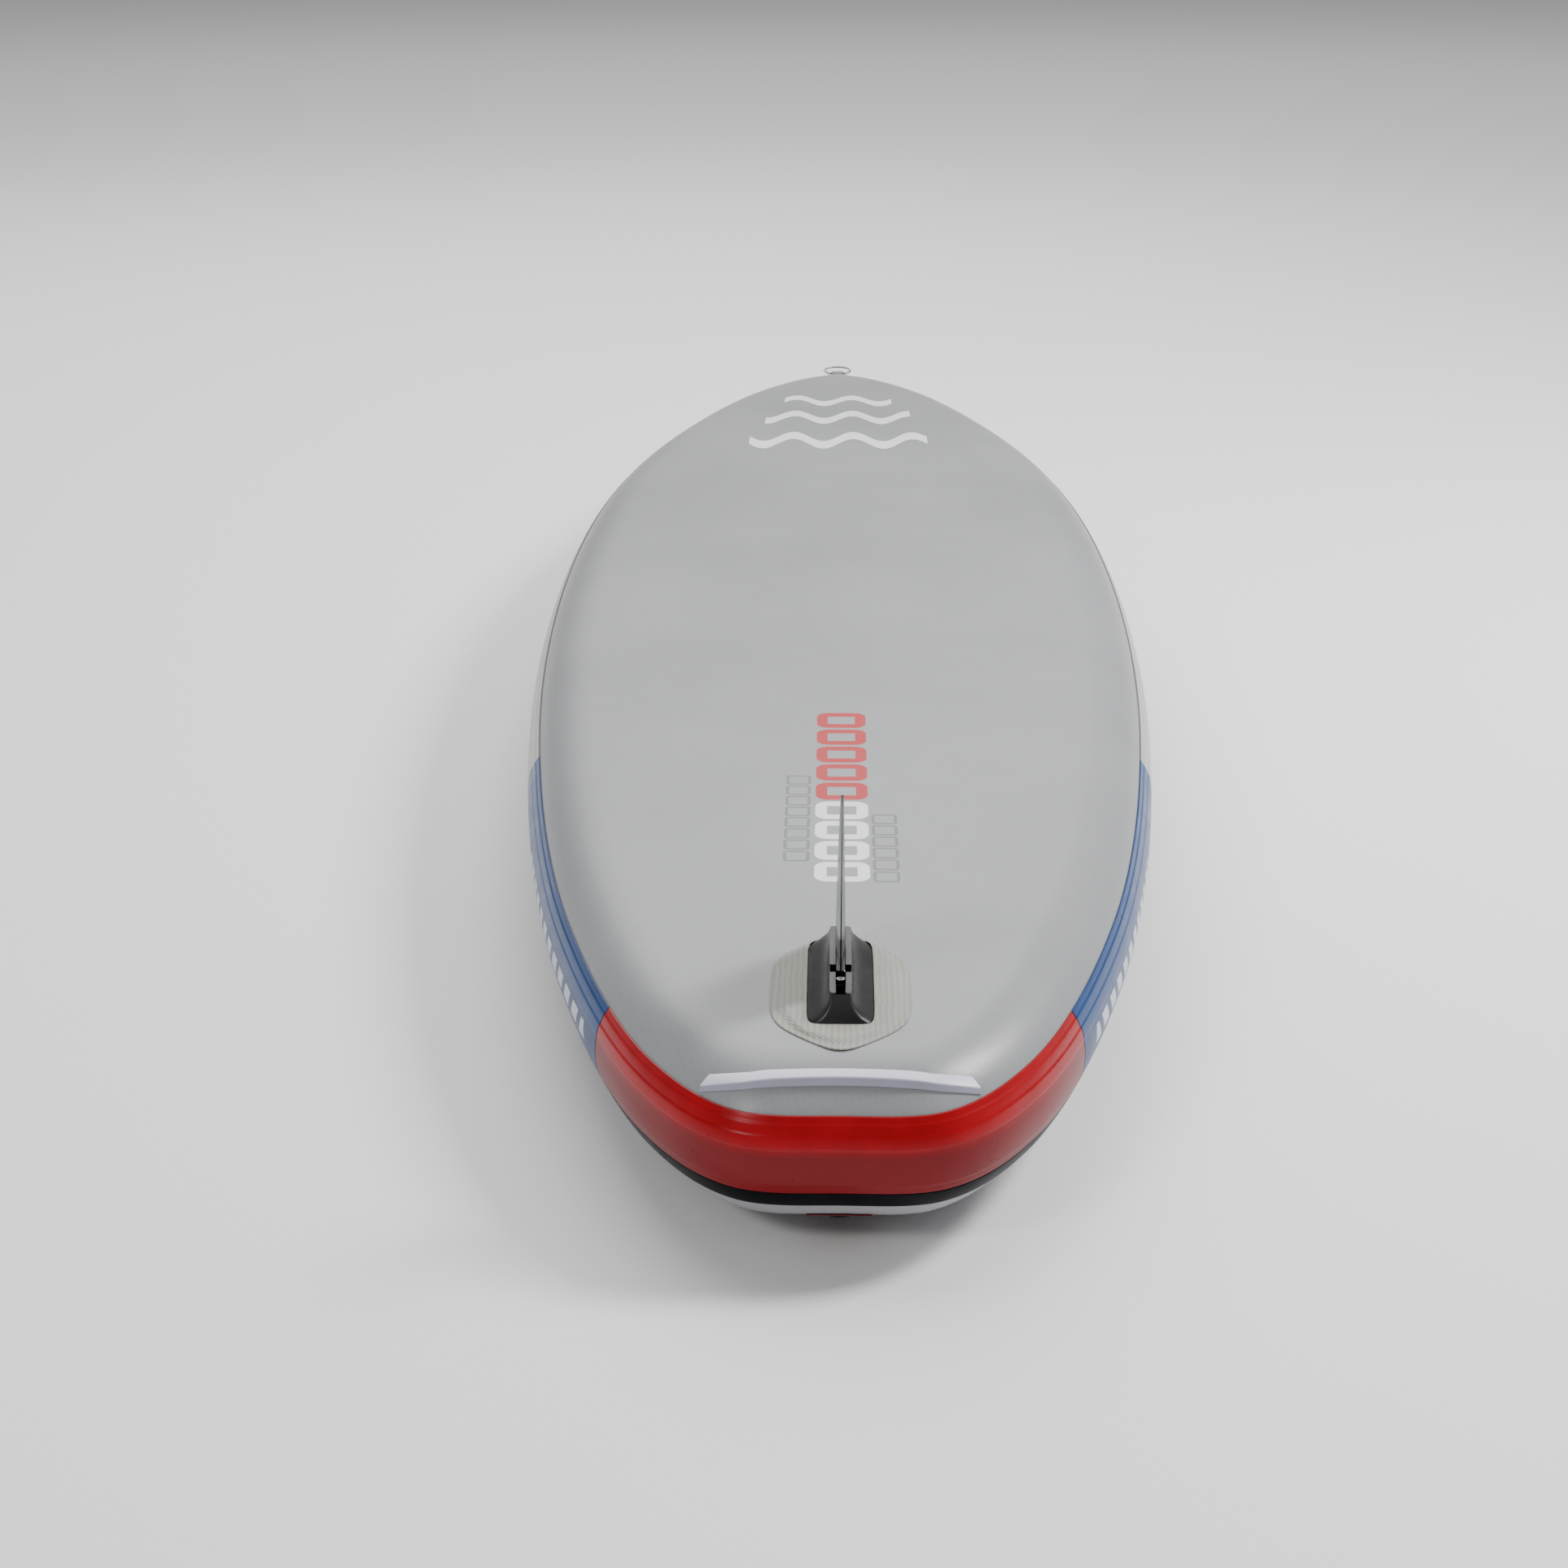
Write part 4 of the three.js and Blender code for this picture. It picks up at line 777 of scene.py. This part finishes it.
# bell-shaped ridge: half width 10 + 19 (1 - u)^2.2 and ends drawn in by scoop u^1.6 at height fraction u
def finRidge():
    look = boxLook
    middle = 185
    a = np.arange(240) / 240 * 2 * np.pi
    foot = [(0.0, 1.4), (0.0, look["foot"])]
    tall = look["height"] - look["foot"]
    levels = foot + [(u, look["foot"] + tall * u) for u in np.linspace(0.02, 0.96, 34)]
    levels += [(0.985, look["height"] - 0.25), (1.0, look["height"])]
    rings = []
    for u, z in levels:
        w = look["ridgeHalf"] + (look["halfWidth"] - look["ridgeHalf"]) * (1 - u) ** 2.2
        w -= 0.5 * max(u - 0.96, 0) / 0.04
        back = middle - look["y0"] - look["scoop"] * u ** 1.6
        front = look["y1"] - middle - look["scoop"] * u ** 1.6
        directions = np.column_stack([np.cos(a) * w, np.sin(a) * (front + back) / 2])
        plan = roundedPolygon(directions, rectangleSides(w, back, front), 7 + 7 * u)
        rings.append(np.column_stack([plan[:, 0], plan[:, 1] + middle, np.full(len(a), z)]))
    ridge = ringSolid("finBox", np.array(rings)[:, ::-1], sharp=38)
    y0, y1, halfSlot, floor = look["slot"]
    n0, n1, halfNotch = look["notch"]
    slotCut = ringSolid("slotCut", boxRings(-halfSlot, halfSlot, y0, y1, floor, 40))
    notchCut = ringSolid("notchCut", boxRings(-halfNotch, halfNotch, n0, n1, look["trackFloor"], 40))
    return carve(ridge, [slotCut, notchCut])


finish(finRidge(), materials["finBox"], "board", "fin_box", slot="box_plastic")
print("fin box made")

# fin
bladeLook = {"rearFoot": 160, "frontFoot": 268, "tip": 120, "z0": 26.6, "z1": 207, "halfThickness": 5.2}


# blade section at height fraction h: half thickness T (1 - 0.72 h)(1.9 sqrt(u) (1 - u)^0.9 + 0.12);
# leading edge tip + (front - tip)(1 - h^1.9)^0.8, trailing edge rear - (rear - tip) h^1.25
def finBlade():
    look = bladeLook
    h = np.concatenate([np.linspace(0, 0.9, 60), 0.9 + 0.098 * np.linspace(0.04, 1, 24) ** 0.6])
    lead = look["tip"] + (look["frontFoot"] - look["tip"]) * (1 - h**1.9) ** 0.8
    trail = look["rearFoot"] - (look["rearFoot"] - look["tip"]) * h**1.25
    u = np.linspace(0, 1, 40) ** 1.7
    shape = 1.9 * np.sqrt(u) * (1 - u) ** 0.9 + 0.12 * ease(u, 0, 0.03)
    thick = look["halfThickness"] * (1 - 0.72 * h)[:, None] * shape[None, :]
    y = lead[:, None] - (lead - trail)[:, None] * u[None, :]
    z = np.broadcast_to((look["z0"] + (look["z1"] - look["z0"]) * h)[:, None], y.shape)
    right = np.stack([thick, y, z], axis=-1)
    left = np.stack([-thick, y, z], axis=-1)[:, ::-1]
    return ringSolid("finBlade", np.concatenate([right, left], axis=1), sharp=50)


finish(finBlade(), materials["fin"], "fin_unit", "fin", slot="fin_plastic")
tabLook = {"halfWidth": 4.05, "y0": 160, "y1": 240, "z0": 5.2, "z1": 26.6, "earY": 146, "earZ": (13.4, 19.7)}
tabHalf = tabLook["halfWidth"]
tabRings = boxRings(-tabHalf, tabHalf, tabLook["y0"], tabLook["y1"], tabLook["z0"], tabLook["z1"], 0.6)
finish(ringSolid("finTab", tabRings, sharp=25), materials["fin"], "fin_unit", slot="fin_plastic")
earRings = boxRings(-tabHalf, tabHalf, tabLook["earY"], tabLook["y0"], *tabLook["earZ"], 0.5)
finEar = ringSolid("finEar", earRings, sharp=25)
earHole = ringSolid("earHole", rodRings(0, screwSpot["y"], 2.3, 10, 24, 32))
finish(carve(finEar, [earHole]), materials["fin"], "fin_unit", slot="fin_plastic")
print("fin made")


# rings and webbing
# D of a ring: straight bar of 2 halfBar, bow (halfWidth cos a, 0.42 reach + 0.58 reach sin a)
def ringSolidPath(look):
    bar = [(x, 0.0) for x in (-look["halfBar"], -look["halfBar"] / 3, look["halfBar"] / 3, look["halfBar"])]
    a = np.linspace(-18, 198, 12) * deg
    bow = np.column_stack([look["halfWidth"] * np.cos(a), look["reach"] * (0.42 + 0.58 * np.sin(a))])
    return loopCurve(np.vstack([bar, bow]), np.arange(160) / 160)


# wire of radius r round a flat loop given by (x, v): centre = bar + x X + v direction
def wireRing(name, look, bar, direction):
    flat = ringSolidPath(look)
    step = np.roll(flat, -1, axis=0) - np.roll(flat, 1, axis=0)
    step /= np.linalg.norm(step, axis=1, keepdims=True)
    away = np.column_stack([step[:, 1], -step[:, 0]])
    d = np.array([0, *direction])
    up = np.array([0, -direction[1], direction[0]])
    xAxis = np.array([1.0, 0, 0])
    a = np.arange(20) / 20 * 2 * np.pi
    centre = bar + flat[:, :1] * xAxis + flat[:, 1:] * d
    away3 = away[:, :1] * xAxis + away[:, 1:] * d
    rings = centre[:, None] + look["wire"] * (away3[:, None] * np.cos(a)[None, :, None]
                                              + up[None, None] * np.sin(a)[None, :, None])
    return ringSolid(name, rings, "joined", sharp=60)


# strap: a rounded band of half width w and thickness e carried along a (y, z) path
def strap(name, path, halfWidth, thickness):
    p = np.asarray(path, float)
    step = np.gradient(p, axis=0)
    step /= np.linalg.norm(step, axis=1, keepdims=True)
    normal = np.column_stack([-step[:, 1], step[:, 0]])
    run = np.concatenate([[0], np.cumsum(np.linalg.norm(np.diff(p, axis=0), axis=1))])
    a = np.linspace(0, np.pi, 9)
    side = thickness / 2
    cols = np.linspace(-1, 1, 15)
    across = np.concatenate([halfWidth - side + side * np.sin(a), (halfWidth - side) * -cols[1:-1],
                             -(halfWidth - side) - side * np.sin(a), (halfWidth - side) * cols[1:-1]])
    off = np.concatenate([-side * np.cos(a), np.full(13, side), side * np.cos(a), np.full(13, -side)])
    centre = np.column_stack([np.zeros(len(p)), p])
    n3 = np.column_stack([np.zeros(len(p)), normal])
    rings = centre[:, None] + across[None, :, None] * [1, 0, 0] + off[None, :, None] * n3[:, None]
    uv = np.stack(np.broadcast_arrays(across[None, :], run[:, None]), axis=-1)
    rings = np.roll(rings, -4, axis=1)
    return ringSolid(name, rings, uv=np.roll(uv, -4, axis=1), sharp=50)


noseLook = {"halfBar": 17, "halfWidth": 25, "reach": 27, "wire": 2.0, "angle": 66, "tilt": 14, "loopHalf": 12}
tailLook = {"halfBar": 16, "halfWidth": 18, "reach": 30, "wire": 2.0, "loopHalf": 12}
noseBar = toBoard(joints["nose_ring_swing"]["pos_m"])
tailBar = toBoard(joints["tail_ring_swing"]["pos_m"])
noseTilt = noseLook["tilt"] * deg
noseRing = wireRing("noseRing", noseLook, noseBar, (math.cos(noseTilt), math.sin(noseTilt)))
finish(noseRing, materials["steel"], "nose_ring_body", "nose_ring", slot="steel")
tailRing = wireRing("tailRing", tailLook, tailBar, (-1.0, 0.0))
finish(tailRing, materials["blackSteel"], "tail_ring_body", "tail_ring", slot="steel")

# nose webbing: radius 78.4 + 8 exp(-(d / 3.7)^2) about the rail's centre, d degrees from the bar
d = np.linspace(-13, 13, 70)
loopPath = railPoint(1.0, noseLook["angle"] + d, railRadius + 2.4 + 8.0 * np.exp(-(d / 3.7) ** 2))[:, 1:]
finish(strap("noseWebbing", loopPath, noseLook["loopHalf"], 1.5), materials["greyWebbing"], "board",
       "nose_webbing_loop", slot="webbing_grey")
# tail webbing: height below the deck 2.6 + 7.4 exp(-(d / 4)^2)
d = np.linspace(-22, 22, 80)
deckFace = deckHeight(tailBar[1])
tailPath = np.column_stack([tailBar[1] + d, deckFace - 2.6 - 7.4 * np.exp(-(d / 4.0) ** 2)])
finish(strap("tailWebbing", tailPath, tailLook["loopHalf"], 1.5), materials["blackWebbing"], "board",
       "tail_webbing_loop", slot="webbing_black")


# nose patch: a band of the rail round the nose, its ends rounded off by narrowing it
def nosePatch():
    u = np.linspace(-1, 1, 81)
    t = 1 - np.abs(u) * 0.035
    wide = 10.5 * np.sqrt(np.clip(1 - np.abs(u) ** 4, 0, 1))[:, None] + 0.2
    s = np.linspace(-1, 1, 21)[None, :]
    angles = 62.5 - wide * s
    edge = 0.9 * np.sqrt(np.clip(1 - s**10, 0, 1)) + 0.05
    outer = railPoint(t[:, None], angles, railRadius + 0.35 + edge)
    inner = railPoint(t[:, None], angles[:, ::-1], railRadius + 0.35)
    rings = np.concatenate([outer, inner], axis=1)
    rings[..., 0] *= np.where(u < 0, -1, 1)[:, None]
    return ringSolid("nosePatch", rings, sharp=50)


finish(nosePatch(), materials["patch"], "board", "nose_patch", slot="patch_grey")


# tail patch: (y, z) path under the tail, from the rail round to the flat of the deck
def tailPatch():
    a = np.linspace(-52, -90, 24)
    curve = railPoint(0.0, a, railRadius + 1.2)[:, 1:]
    flat = np.column_stack([np.linspace(80, 128, 14), np.full(14, deckHeight(100) - 1.2)])
    return strap("tailPatch", np.vstack([curve, flat]), 28, 0.9)


finish(tailPatch(), materials["redPatch"], "board", "tail_patch", slot="patch_red")
print("rings made")

# deck pads
padLook = {"thickness": 5.0, "lift": 0.4, "margin": 34, "widest": 270, "corner": 22, "grooveStep": 18,
           "groove": 1.6,
           "rear": (208, 1240), "side": (1246, 1574), "front": (1580, 2350), "well": 70}


# half width at y: the pad's own, drawn in near each end by the corner circle
def roundedHalf(y, y0, y1, widest, corner):
    fromEnd = np.minimum(y - y0, y1 - y)
    c = np.clip(corner - fromEnd, 0, corner)
    return widest - corner + np.sqrt(np.clip(corner**2 - c**2, 0, None))


# foam sheet on the deck: thickness less a V of depth g at every groove, rounded off at its rim
def deckPad(name, y0, y1, inner=None, side=1):
    look = padLook
    y = np.concatenate([y0 + look["corner"] * (1 - np.cos(np.linspace(0, np.pi / 2, 9))),
                        np.linspace(y0 + look["corner"], y1 - look["corner"], 50)[1:-1],
                        y1 - look["corner"] * (1 - np.cos(np.linspace(np.pi / 2, 0, 9)))])
    edge = np.minimum(look["widest"], flatHalfWidth(y) - look["margin"])
    outer = roundedHalf(y, y0, y1, edge, look["corner"])
    start = -outer if inner is None else np.minimum(inner + look["widest"] - roundedHalf(
        y, y0, y1, look["widest"], look["corner"]), outer - 10)
    grooves = int((look["widest"] * (2 if inner is None else 1)) / look["grooveStep"])
    s = np.linspace(0, 1, grooves * 8 + 1)
    x = start[:, None] + (outer - start)[:, None] * s[None, :]
    wave = np.abs(np.mod(s * grooves, 1) - 0.5) * 2
    depth = look["groove"] * ease(wave, 0.62, 1.0)
    rim = ease(np.minimum(s, 1 - s) * (look["widest"] * 2), 0, 6)
    rimY = ease(np.minimum(y - y0, y1 - y), -0.5, 6)
    chamfer = 0.45 + 0.55 * np.minimum(rim[None, :], rimY[:, None])
    tall = look["thickness"] * chamfer - depth[None, :] * rim[None, :]
    top = deckHeight(y)[:, None] - look["lift"]
    lower = np.stack(np.broadcast_arrays(x * side, y[:, None], top - tall), axis=-1)
    upper = np.stack(np.broadcast_arrays(x * side, y[:, None], top), axis=-1)
    return ringSolid(name, np.concatenate([lower, upper[:, ::-1]], axis=1), sharp=50)


for name, node, span, inner, side in (
    ("deckPadRear", "deck_pad_rear", "rear", None, 1), ("deckPadFront", "deck_pad_front", "front", None, 1),
    ("deckPadLeft", "deck_pad_left", "side", padLook["well"], -1),
    ("deckPadRight", "deck_pad_right", "side", padLook["well"], 1),
):
    pad = deckPad(name, *padLook[span], inner, side)
    finish(pad, materials["deckFoam"], "board", node, slot="eva_blue")

kickLook = {"y0": 214, "y1": 300, "halfWidth": 125, "height": 21.2, "front": 9}


# kick pad: arched bar across the deck, height eased up behind and down to a lip in front
def kickPad():
    look = kickLook
    y = np.linspace(look["y0"], look["y1"], 47)
    rise = ease(y, look["y0"] - 4, look["y0"] + 16)
    fall = ease(y, look["y0"] + 40, look["y1"] + 6)
    tall = rise * (look["height"] + (look["front"] - look["height"]) * fall)
    ribs = 0.7 * ease(np.abs(np.mod((y - look["y0"]) / 9.0, 1) - 0.5) * 2, 0.7, 1.0)
    x = look["halfWidth"] * np.sin(np.linspace(-np.pi / 2, np.pi / 2, 61))
    ends = np.clip(1 - (np.abs(x) / look["halfWidth"]) ** 8, 0, 1) ** 0.5
    top = -boardShape["thickness"] - padLook["thickness"] - padLook["lift"] - 0.1
    depth = np.maximum(ends[:, None] * (tall - ribs * rise)[None, :], 0.3)
    lower = np.stack(np.broadcast_arrays(x[:, None], y[None, :], top - depth), axis=-1)
    upper = np.stack(np.broadcast_arrays(x[:, None], y[None, ::-1], np.full((61, 47), top)), axis=-1)
    return ringSolid("kickPad", np.concatenate([lower, upper], axis=1), sharp=50)


kick = finish(kickPad(), materials["kickFoam"], "board", "kick_pad", slot="eva_navy")
print("pads made")

# carry handle
handleLook = {"y": 1410, "halfLength": 150, "foot": 46, "halfWidth": 17, "drop": 38, "strap": 2.6,
              "patchHalf": 30, "patchLength": 34}


# strap path: flat feet, and drop sin(pi u)^0.9 between them, eased in over the first tenth
def handlePath(count=120):
    look = handleLook
    y = np.linspace(look["y"] - look["halfLength"], look["y"] + look["halfLength"], count)
    reach = look["halfLength"] - look["foot"]
    u = np.clip((y - look["y"] + reach) / (2 * reach), 0, 1)
    bow = look["drop"] * np.sin(np.pi * u) ** 1.15
    return np.column_stack([y, deckHeight(y) - 1.8 - 2.2 - look["strap"] / 2 - bow])


# sleeve round the strap: superellipse section of power 4, outer skin out and inner skin back
def gripSleeve():
    path = handlePath(240)
    keep = np.abs(path[:, 0] - handleLook["y"]) < 41
    path = path[keep]
    s = np.linspace(-1, 1, len(path))
    a = np.arange(72) / 72 * 2 * np.pi
    c, w = np.cos(a), np.sin(a)
    sx, sz = np.sign(c) * np.abs(c) ** 0.5, np.sign(w) * np.abs(w) ** 0.5
    step = np.gradient(path, axis=0)
    step /= np.linalg.norm(step, axis=1, keepdims=True)
    normal = np.column_stack([np.zeros(len(path)), -step[:, 1], step[:, 0]])
    centre = np.column_stack([np.zeros(len(path)), path])
    bulge = (1 - np.abs(s) ** 8) ** 0.5

    def skin(halfX, halfZ):
        return (centre[:, None] + (halfX[:, None] * sx[None])[..., None] * [1, 0, 0]
                + (halfZ[:, None] * sz[None])[..., None] * normal[:, None])
    inner = skin(np.full(len(path), 17.4), np.full(len(path), 1.7))
    outer = skin(18.2 + 3.0 * bulge, 2.4 + 3.2 * bulge)
    u = np.broadcast_to((a * 8)[None], outer.shape[:2])
    v = np.broadcast_to((s * 41)[:, None], outer.shape[:2])
    uv = np.stack([u, v], axis=-1)
    return ringSolid("handleGrip", np.concatenate([outer, inner[::-1]]), "joined",
                     uv=np.concatenate([uv, uv[::-1]]), sharp=60)


handleStrap = strap("handleStrap", handlePath(), handleLook["halfWidth"], handleLook["strap"])
finish(handleStrap, materials["blackWebbing"], "board", "handle_strap", slot="webbing_black")
grip = finish(gripSleeve(), materials["neoprene"], "board", "handle_grip", slot="grip_black")


# glued patch: rounded rectangle on the deck, thickness 1.1 with a soft rim
def handlePatch(name, sign):
    look = handleLook
    middle = look["y"] + sign * (look["halfLength"] - look["foot"] / 2)
    a = np.arange(120) / 120 * 2 * np.pi
    plan = roundedPolygon(np.column_stack([np.cos(a), np.sin(a)]),
                          rectangleSides(look["patchHalf"], look["patchLength"], look["patchLength"]), 9)
    rings = []
    for scale, depth in ((1.0, 0.3), (1.0, 0.8), (0.99, 1.2), (0.97, 1.4), (0.5, 1.4), (0.02, 1.4)):
        y = middle + plan[:, 1] * scale
        rings.append(np.column_stack([plan[:, 0] * scale, y, deckHeight(y) - depth]))
    return ringSolid(name, np.array(rings), sharp=50)


for name, node, sign in (("handlePatchRear", "handle_patch_rear", -1),
                         ("handlePatchFront", "handle_patch_front", 1)):
    finish(handlePatch(name, sign), materials["deck"], "board", node, slot="deck_pvc")


# rows of stitches: small four-sided spindles laid end to end round a rectangle
def stitches(name, centres, halfX, halfY, step, material, body):
    corner = [(-halfX, -halfY), (halfX, -halfY), (halfX, halfY), (-halfX, halfY)]
    spots, ways = [], []
    for k in range(4):
        a, b = np.array(corner[k]), np.array(corner[(k + 1) % 4])
        count = max(int(np.linalg.norm(b - a) / step), 1)
        w = (np.arange(count) + 0.5)[:, None] / count
        spots.append(a * (1 - w) + b * w)
        ways.append(np.repeat([(b - a) / np.linalg.norm(b - a)], count, axis=0))
    flat, way = np.vstack(spots), np.vstack(ways)
    place = np.vstack([np.column_stack([flat[:, 0] + cx, flat[:, 1] + cy, np.full(len(flat), cz)])
                       for cx, cy, cz in centres])
    way = np.vstack([way] * len(centres))
    along = np.column_stack([way, np.zeros(len(way))])
    side = np.column_stack([-way[:, 1], way[:, 0], np.zeros(len(way))])
    up = np.array([0, 0, 1.0])
    reach = step * 0.4
    verts = np.stack([place - along * reach, place + side * 0.35, place + up * 0.3, place - side * 0.35,
                      place - up * 0.3, place + along * reach], axis=1)
    base = np.arange(len(place))[:, None, None] * 6
    faces = np.array([[0, 1, 2], [0, 2, 3], [0, 3, 4], [0, 4, 1], [5, 2, 1], [5, 3, 2], [5, 4, 3], [5, 1, 4]])
    piece = finishMesh(name, verts.reshape(-1, 3), (faces[None] + base).reshape(-1, 3), sharp=60)
    return finish(piece, material, body)


feet = []
for sign in (-1, 1):
    y = handleLook["y"] + sign * (handleLook["halfLength"] - handleLook["foot"] / 2)
    feet.append((0, y, deckHeight(y) - 4.0 - handleLook["strap"]))
stitches("handleStitches", feet, 13, 17, 3.0, materials["greyWebbing"], "board")
print("handle made")


# valve
# profile of (radius, height into the board) turned about the valve's axis; lobes add
# depth cos(lobes angle) to the points whose radius is above `from`
def turned(name, profile, lobes=0, depth=0.0, above=1e9, sides=96):
    p = np.asarray(profile, float)
    a = np.arange(sides) / sides * 2 * np.pi
    r = p[None, :, 0] + np.where(p[None, :, 0] > above, depth, 0) * np.cos(lobes * a)[:, None]
    x, y = r * np.cos(a)[:, None], r * np.sin(a)[:, None] + valveLook["y"]
    z = np.broadcast_to(-boardShape["thickness"] + p[None, :, 1], x.shape)
    return ringSolid(name, np.stack([x, y, z], axis=-1), "joined", sharp=40)


seat = boardShape["skin"] + 16
bodyProfile = [[15, -6.2], [15.5, -6.7], [23, -6.7], [24.5, -6.4], [29, -4.6], [30, -3.8], [30, -2.4],
               [29.4, -1.9], [22, -1.9], [22, seat], [2.9, seat], [2.9, seat - 2.2], [15, seat - 2.2]]
valveShell = turned("valveBody", bodyProfile, lobes=24, depth=0.35, above=28.5)
quarter = math.pi / 2
airHoles = []
for k in range(4):
    x, y = 8.4 * math.cos(k * quarter), valveLook["y"] + 8.4 * math.sin(k * quarter)
    airHoles.append(ringSolid(f"air{k}", rodRings(x, y, 2.4, seat - 157, seat - 150, 24)))
finish(carve(valveShell, airHoles), materials["valveShell"], "board", "valve_body", slot="valve_plastic")
capProfile = [[0, -9.6], [12, -9.6], [13.5, -10.0], [16, -11.3], [18.6, -11.4], [19.5, -10.6], [19.5, -7.6],
              [18.9, -7.0], [13.9, -6.9], [13.9, -1.6], [13.5, -1.2], [11.5, -1.2], [11.5, -7.2], [0, -7.2]]
valveCap = turned("valveCap", capProfile, lobes=16, depth=0.4, above=18.5)
finish(valveCap, materials["valveShell"], "valve_cap_body", "valve_cap", slot="valve_plastic")
wingRings = boxRings(-14.5, 14.5, valveLook["y"] - 1.7, valveLook["y"] + 1.7, -165.6, -161.7, 0.8)
finish(ringSolid("valveCapWing", wingRings, sharp=25), materials["valveShell"], "valve_cap_body",
       slot="valve_plastic")
tetherRings = boxRings(-4, 4, valveLook["y"] + 21.5, valveLook["y"] + 34, -161.2, -159.6, 0.5)
tether = ringSolid("valveCapTether", tetherRings, sharp=25)
finish(tether, materials["valveShell"], "board", "valve_cap_tether", slot="valve_plastic")
print("valve made")

# CAD pieces that stay as they are
kept = {
    "rail_wall_left": "sideWall", "rail_wall_right": "sideWall", "drop_stitch_yarns": "yarn",
    "fin_cross_pin": "steel", "fin_nut_plate": "steel", "fin_screw": "steel", "valve_gasket": "sealRubber",
    "valve_nut": "valveShell", "valve_seal": "sealRubber", "valve_plunger": "valveBlue", "valve_spring": "steel",
}
for node, look in kept.items():
    mesh = frame["nodes"][node].data
    mesh.materials.clear()
    mesh.materials.append(materials[look])

# floor, light and camera
studio = {
    "floorSize": 40, "floorHeight": -0.0006, "floorColour": (0.93, 0.93, 0.93), "world": 0.32,
    "key": {"place": (2.9, -0.2, 3.2), "aim": (0, -1.3, 0.2), "size": (0.9, 1.2), "watts": 200},
    "overhead": {"place": (-0.6, 2.6, 5.0), "aim": (0, 0.4, 0), "size": (5.0, 6.0), "watts": 330},
    "tail": {"place": (-2.6, -4.2, 3.0), "aim": (0, -1.4, 0.1), "size": (1.0, 0.8), "watts": 50},
    "backdrop": {"place": (0, 9.5, 6.0), "aim": (0, 10.5, 0), "size": (12.0, 8.0), "watts": 260},
}
cameraLook = {"place": (-10.9, -1809.1, 1005.9), "down": 22.236, "left": 0.0193, "lens": 58.2}


def makeFloor():
    s = studio["floorSize"] / 2
    mesh = bpy.data.meshes.new("floor")
    z = studio["floorHeight"]   # just under the finer curve of the deck
    mesh.from_pydata([(-s, -s, z), (s, -s, z), (s, s, z), (-s, s, z)], [], [(0, 1, 2, 3)])
    floor = bpy.data.objects.new("floor", mesh)
    scene.collection.objects.link(floor)
    material = bpy.data.materials.new("paleFloor")
    material.use_nodes = True
    shader = material.node_tree.nodes["Principled BSDF"]
    shader.inputs["Base Color"].default_value = (*studio["floorColour"], 1)
    shader.inputs["Roughness"].default_value = 0.8
    mesh.materials.append(material)


def makeLight(name, look):
    data = bpy.data.lights.new(name, "AREA")
    data.shape = "RECTANGLE"
    data.size, data.size_y = look["size"]
    data.energy = look["watts"]
    lamp = bpy.data.objects.new(name, data)
    lamp.location = look["place"]
    lamp.rotation_mode = "QUATERNION"
    lamp.rotation_quaternion = (Vector(look["aim"]) - Vector(look["place"])).to_track_quat("-Z", "Y")
    scene.collection.objects.link(lamp)


makeFloor()
for name in ("key", "overhead", "tail", "backdrop"):
    makeLight(name, studio[name])
world = bpy.data.worlds.new("studio")
scene.world = world
world.use_nodes = True
world.node_tree.nodes["Background"].inputs["Color"].default_value = (1, 1, 1, 1)
world.node_tree.nodes["Background"].inputs["Strength"].default_value = studio["world"]

cameraData = bpy.data.cameras.new("camera")
cameraData.lens = cameraLook["lens"]
cameraData.sensor_width = 36
cameraData.clip_start, cameraData.clip_end = 0.05, 60
camera = bpy.data.objects.new("camera", cameraData)
place = toWorld(cameraLook["place"])
down, left = cameraLook["down"] * deg, cameraLook["left"]
ahead = np.array([-math.sin(left) * math.cos(down), math.cos(left) * math.cos(down), -math.sin(down)]) * 1000
forward = Vector(toWorld(np.array(cameraLook["place"]) + ahead) - place)
camera.location = place
camera.rotation_mode = "QUATERNION"
camera.rotation_quaternion = forward.to_track_quat("-Z", "Y")
scene.collection.objects.link(camera)
scene.camera = camera
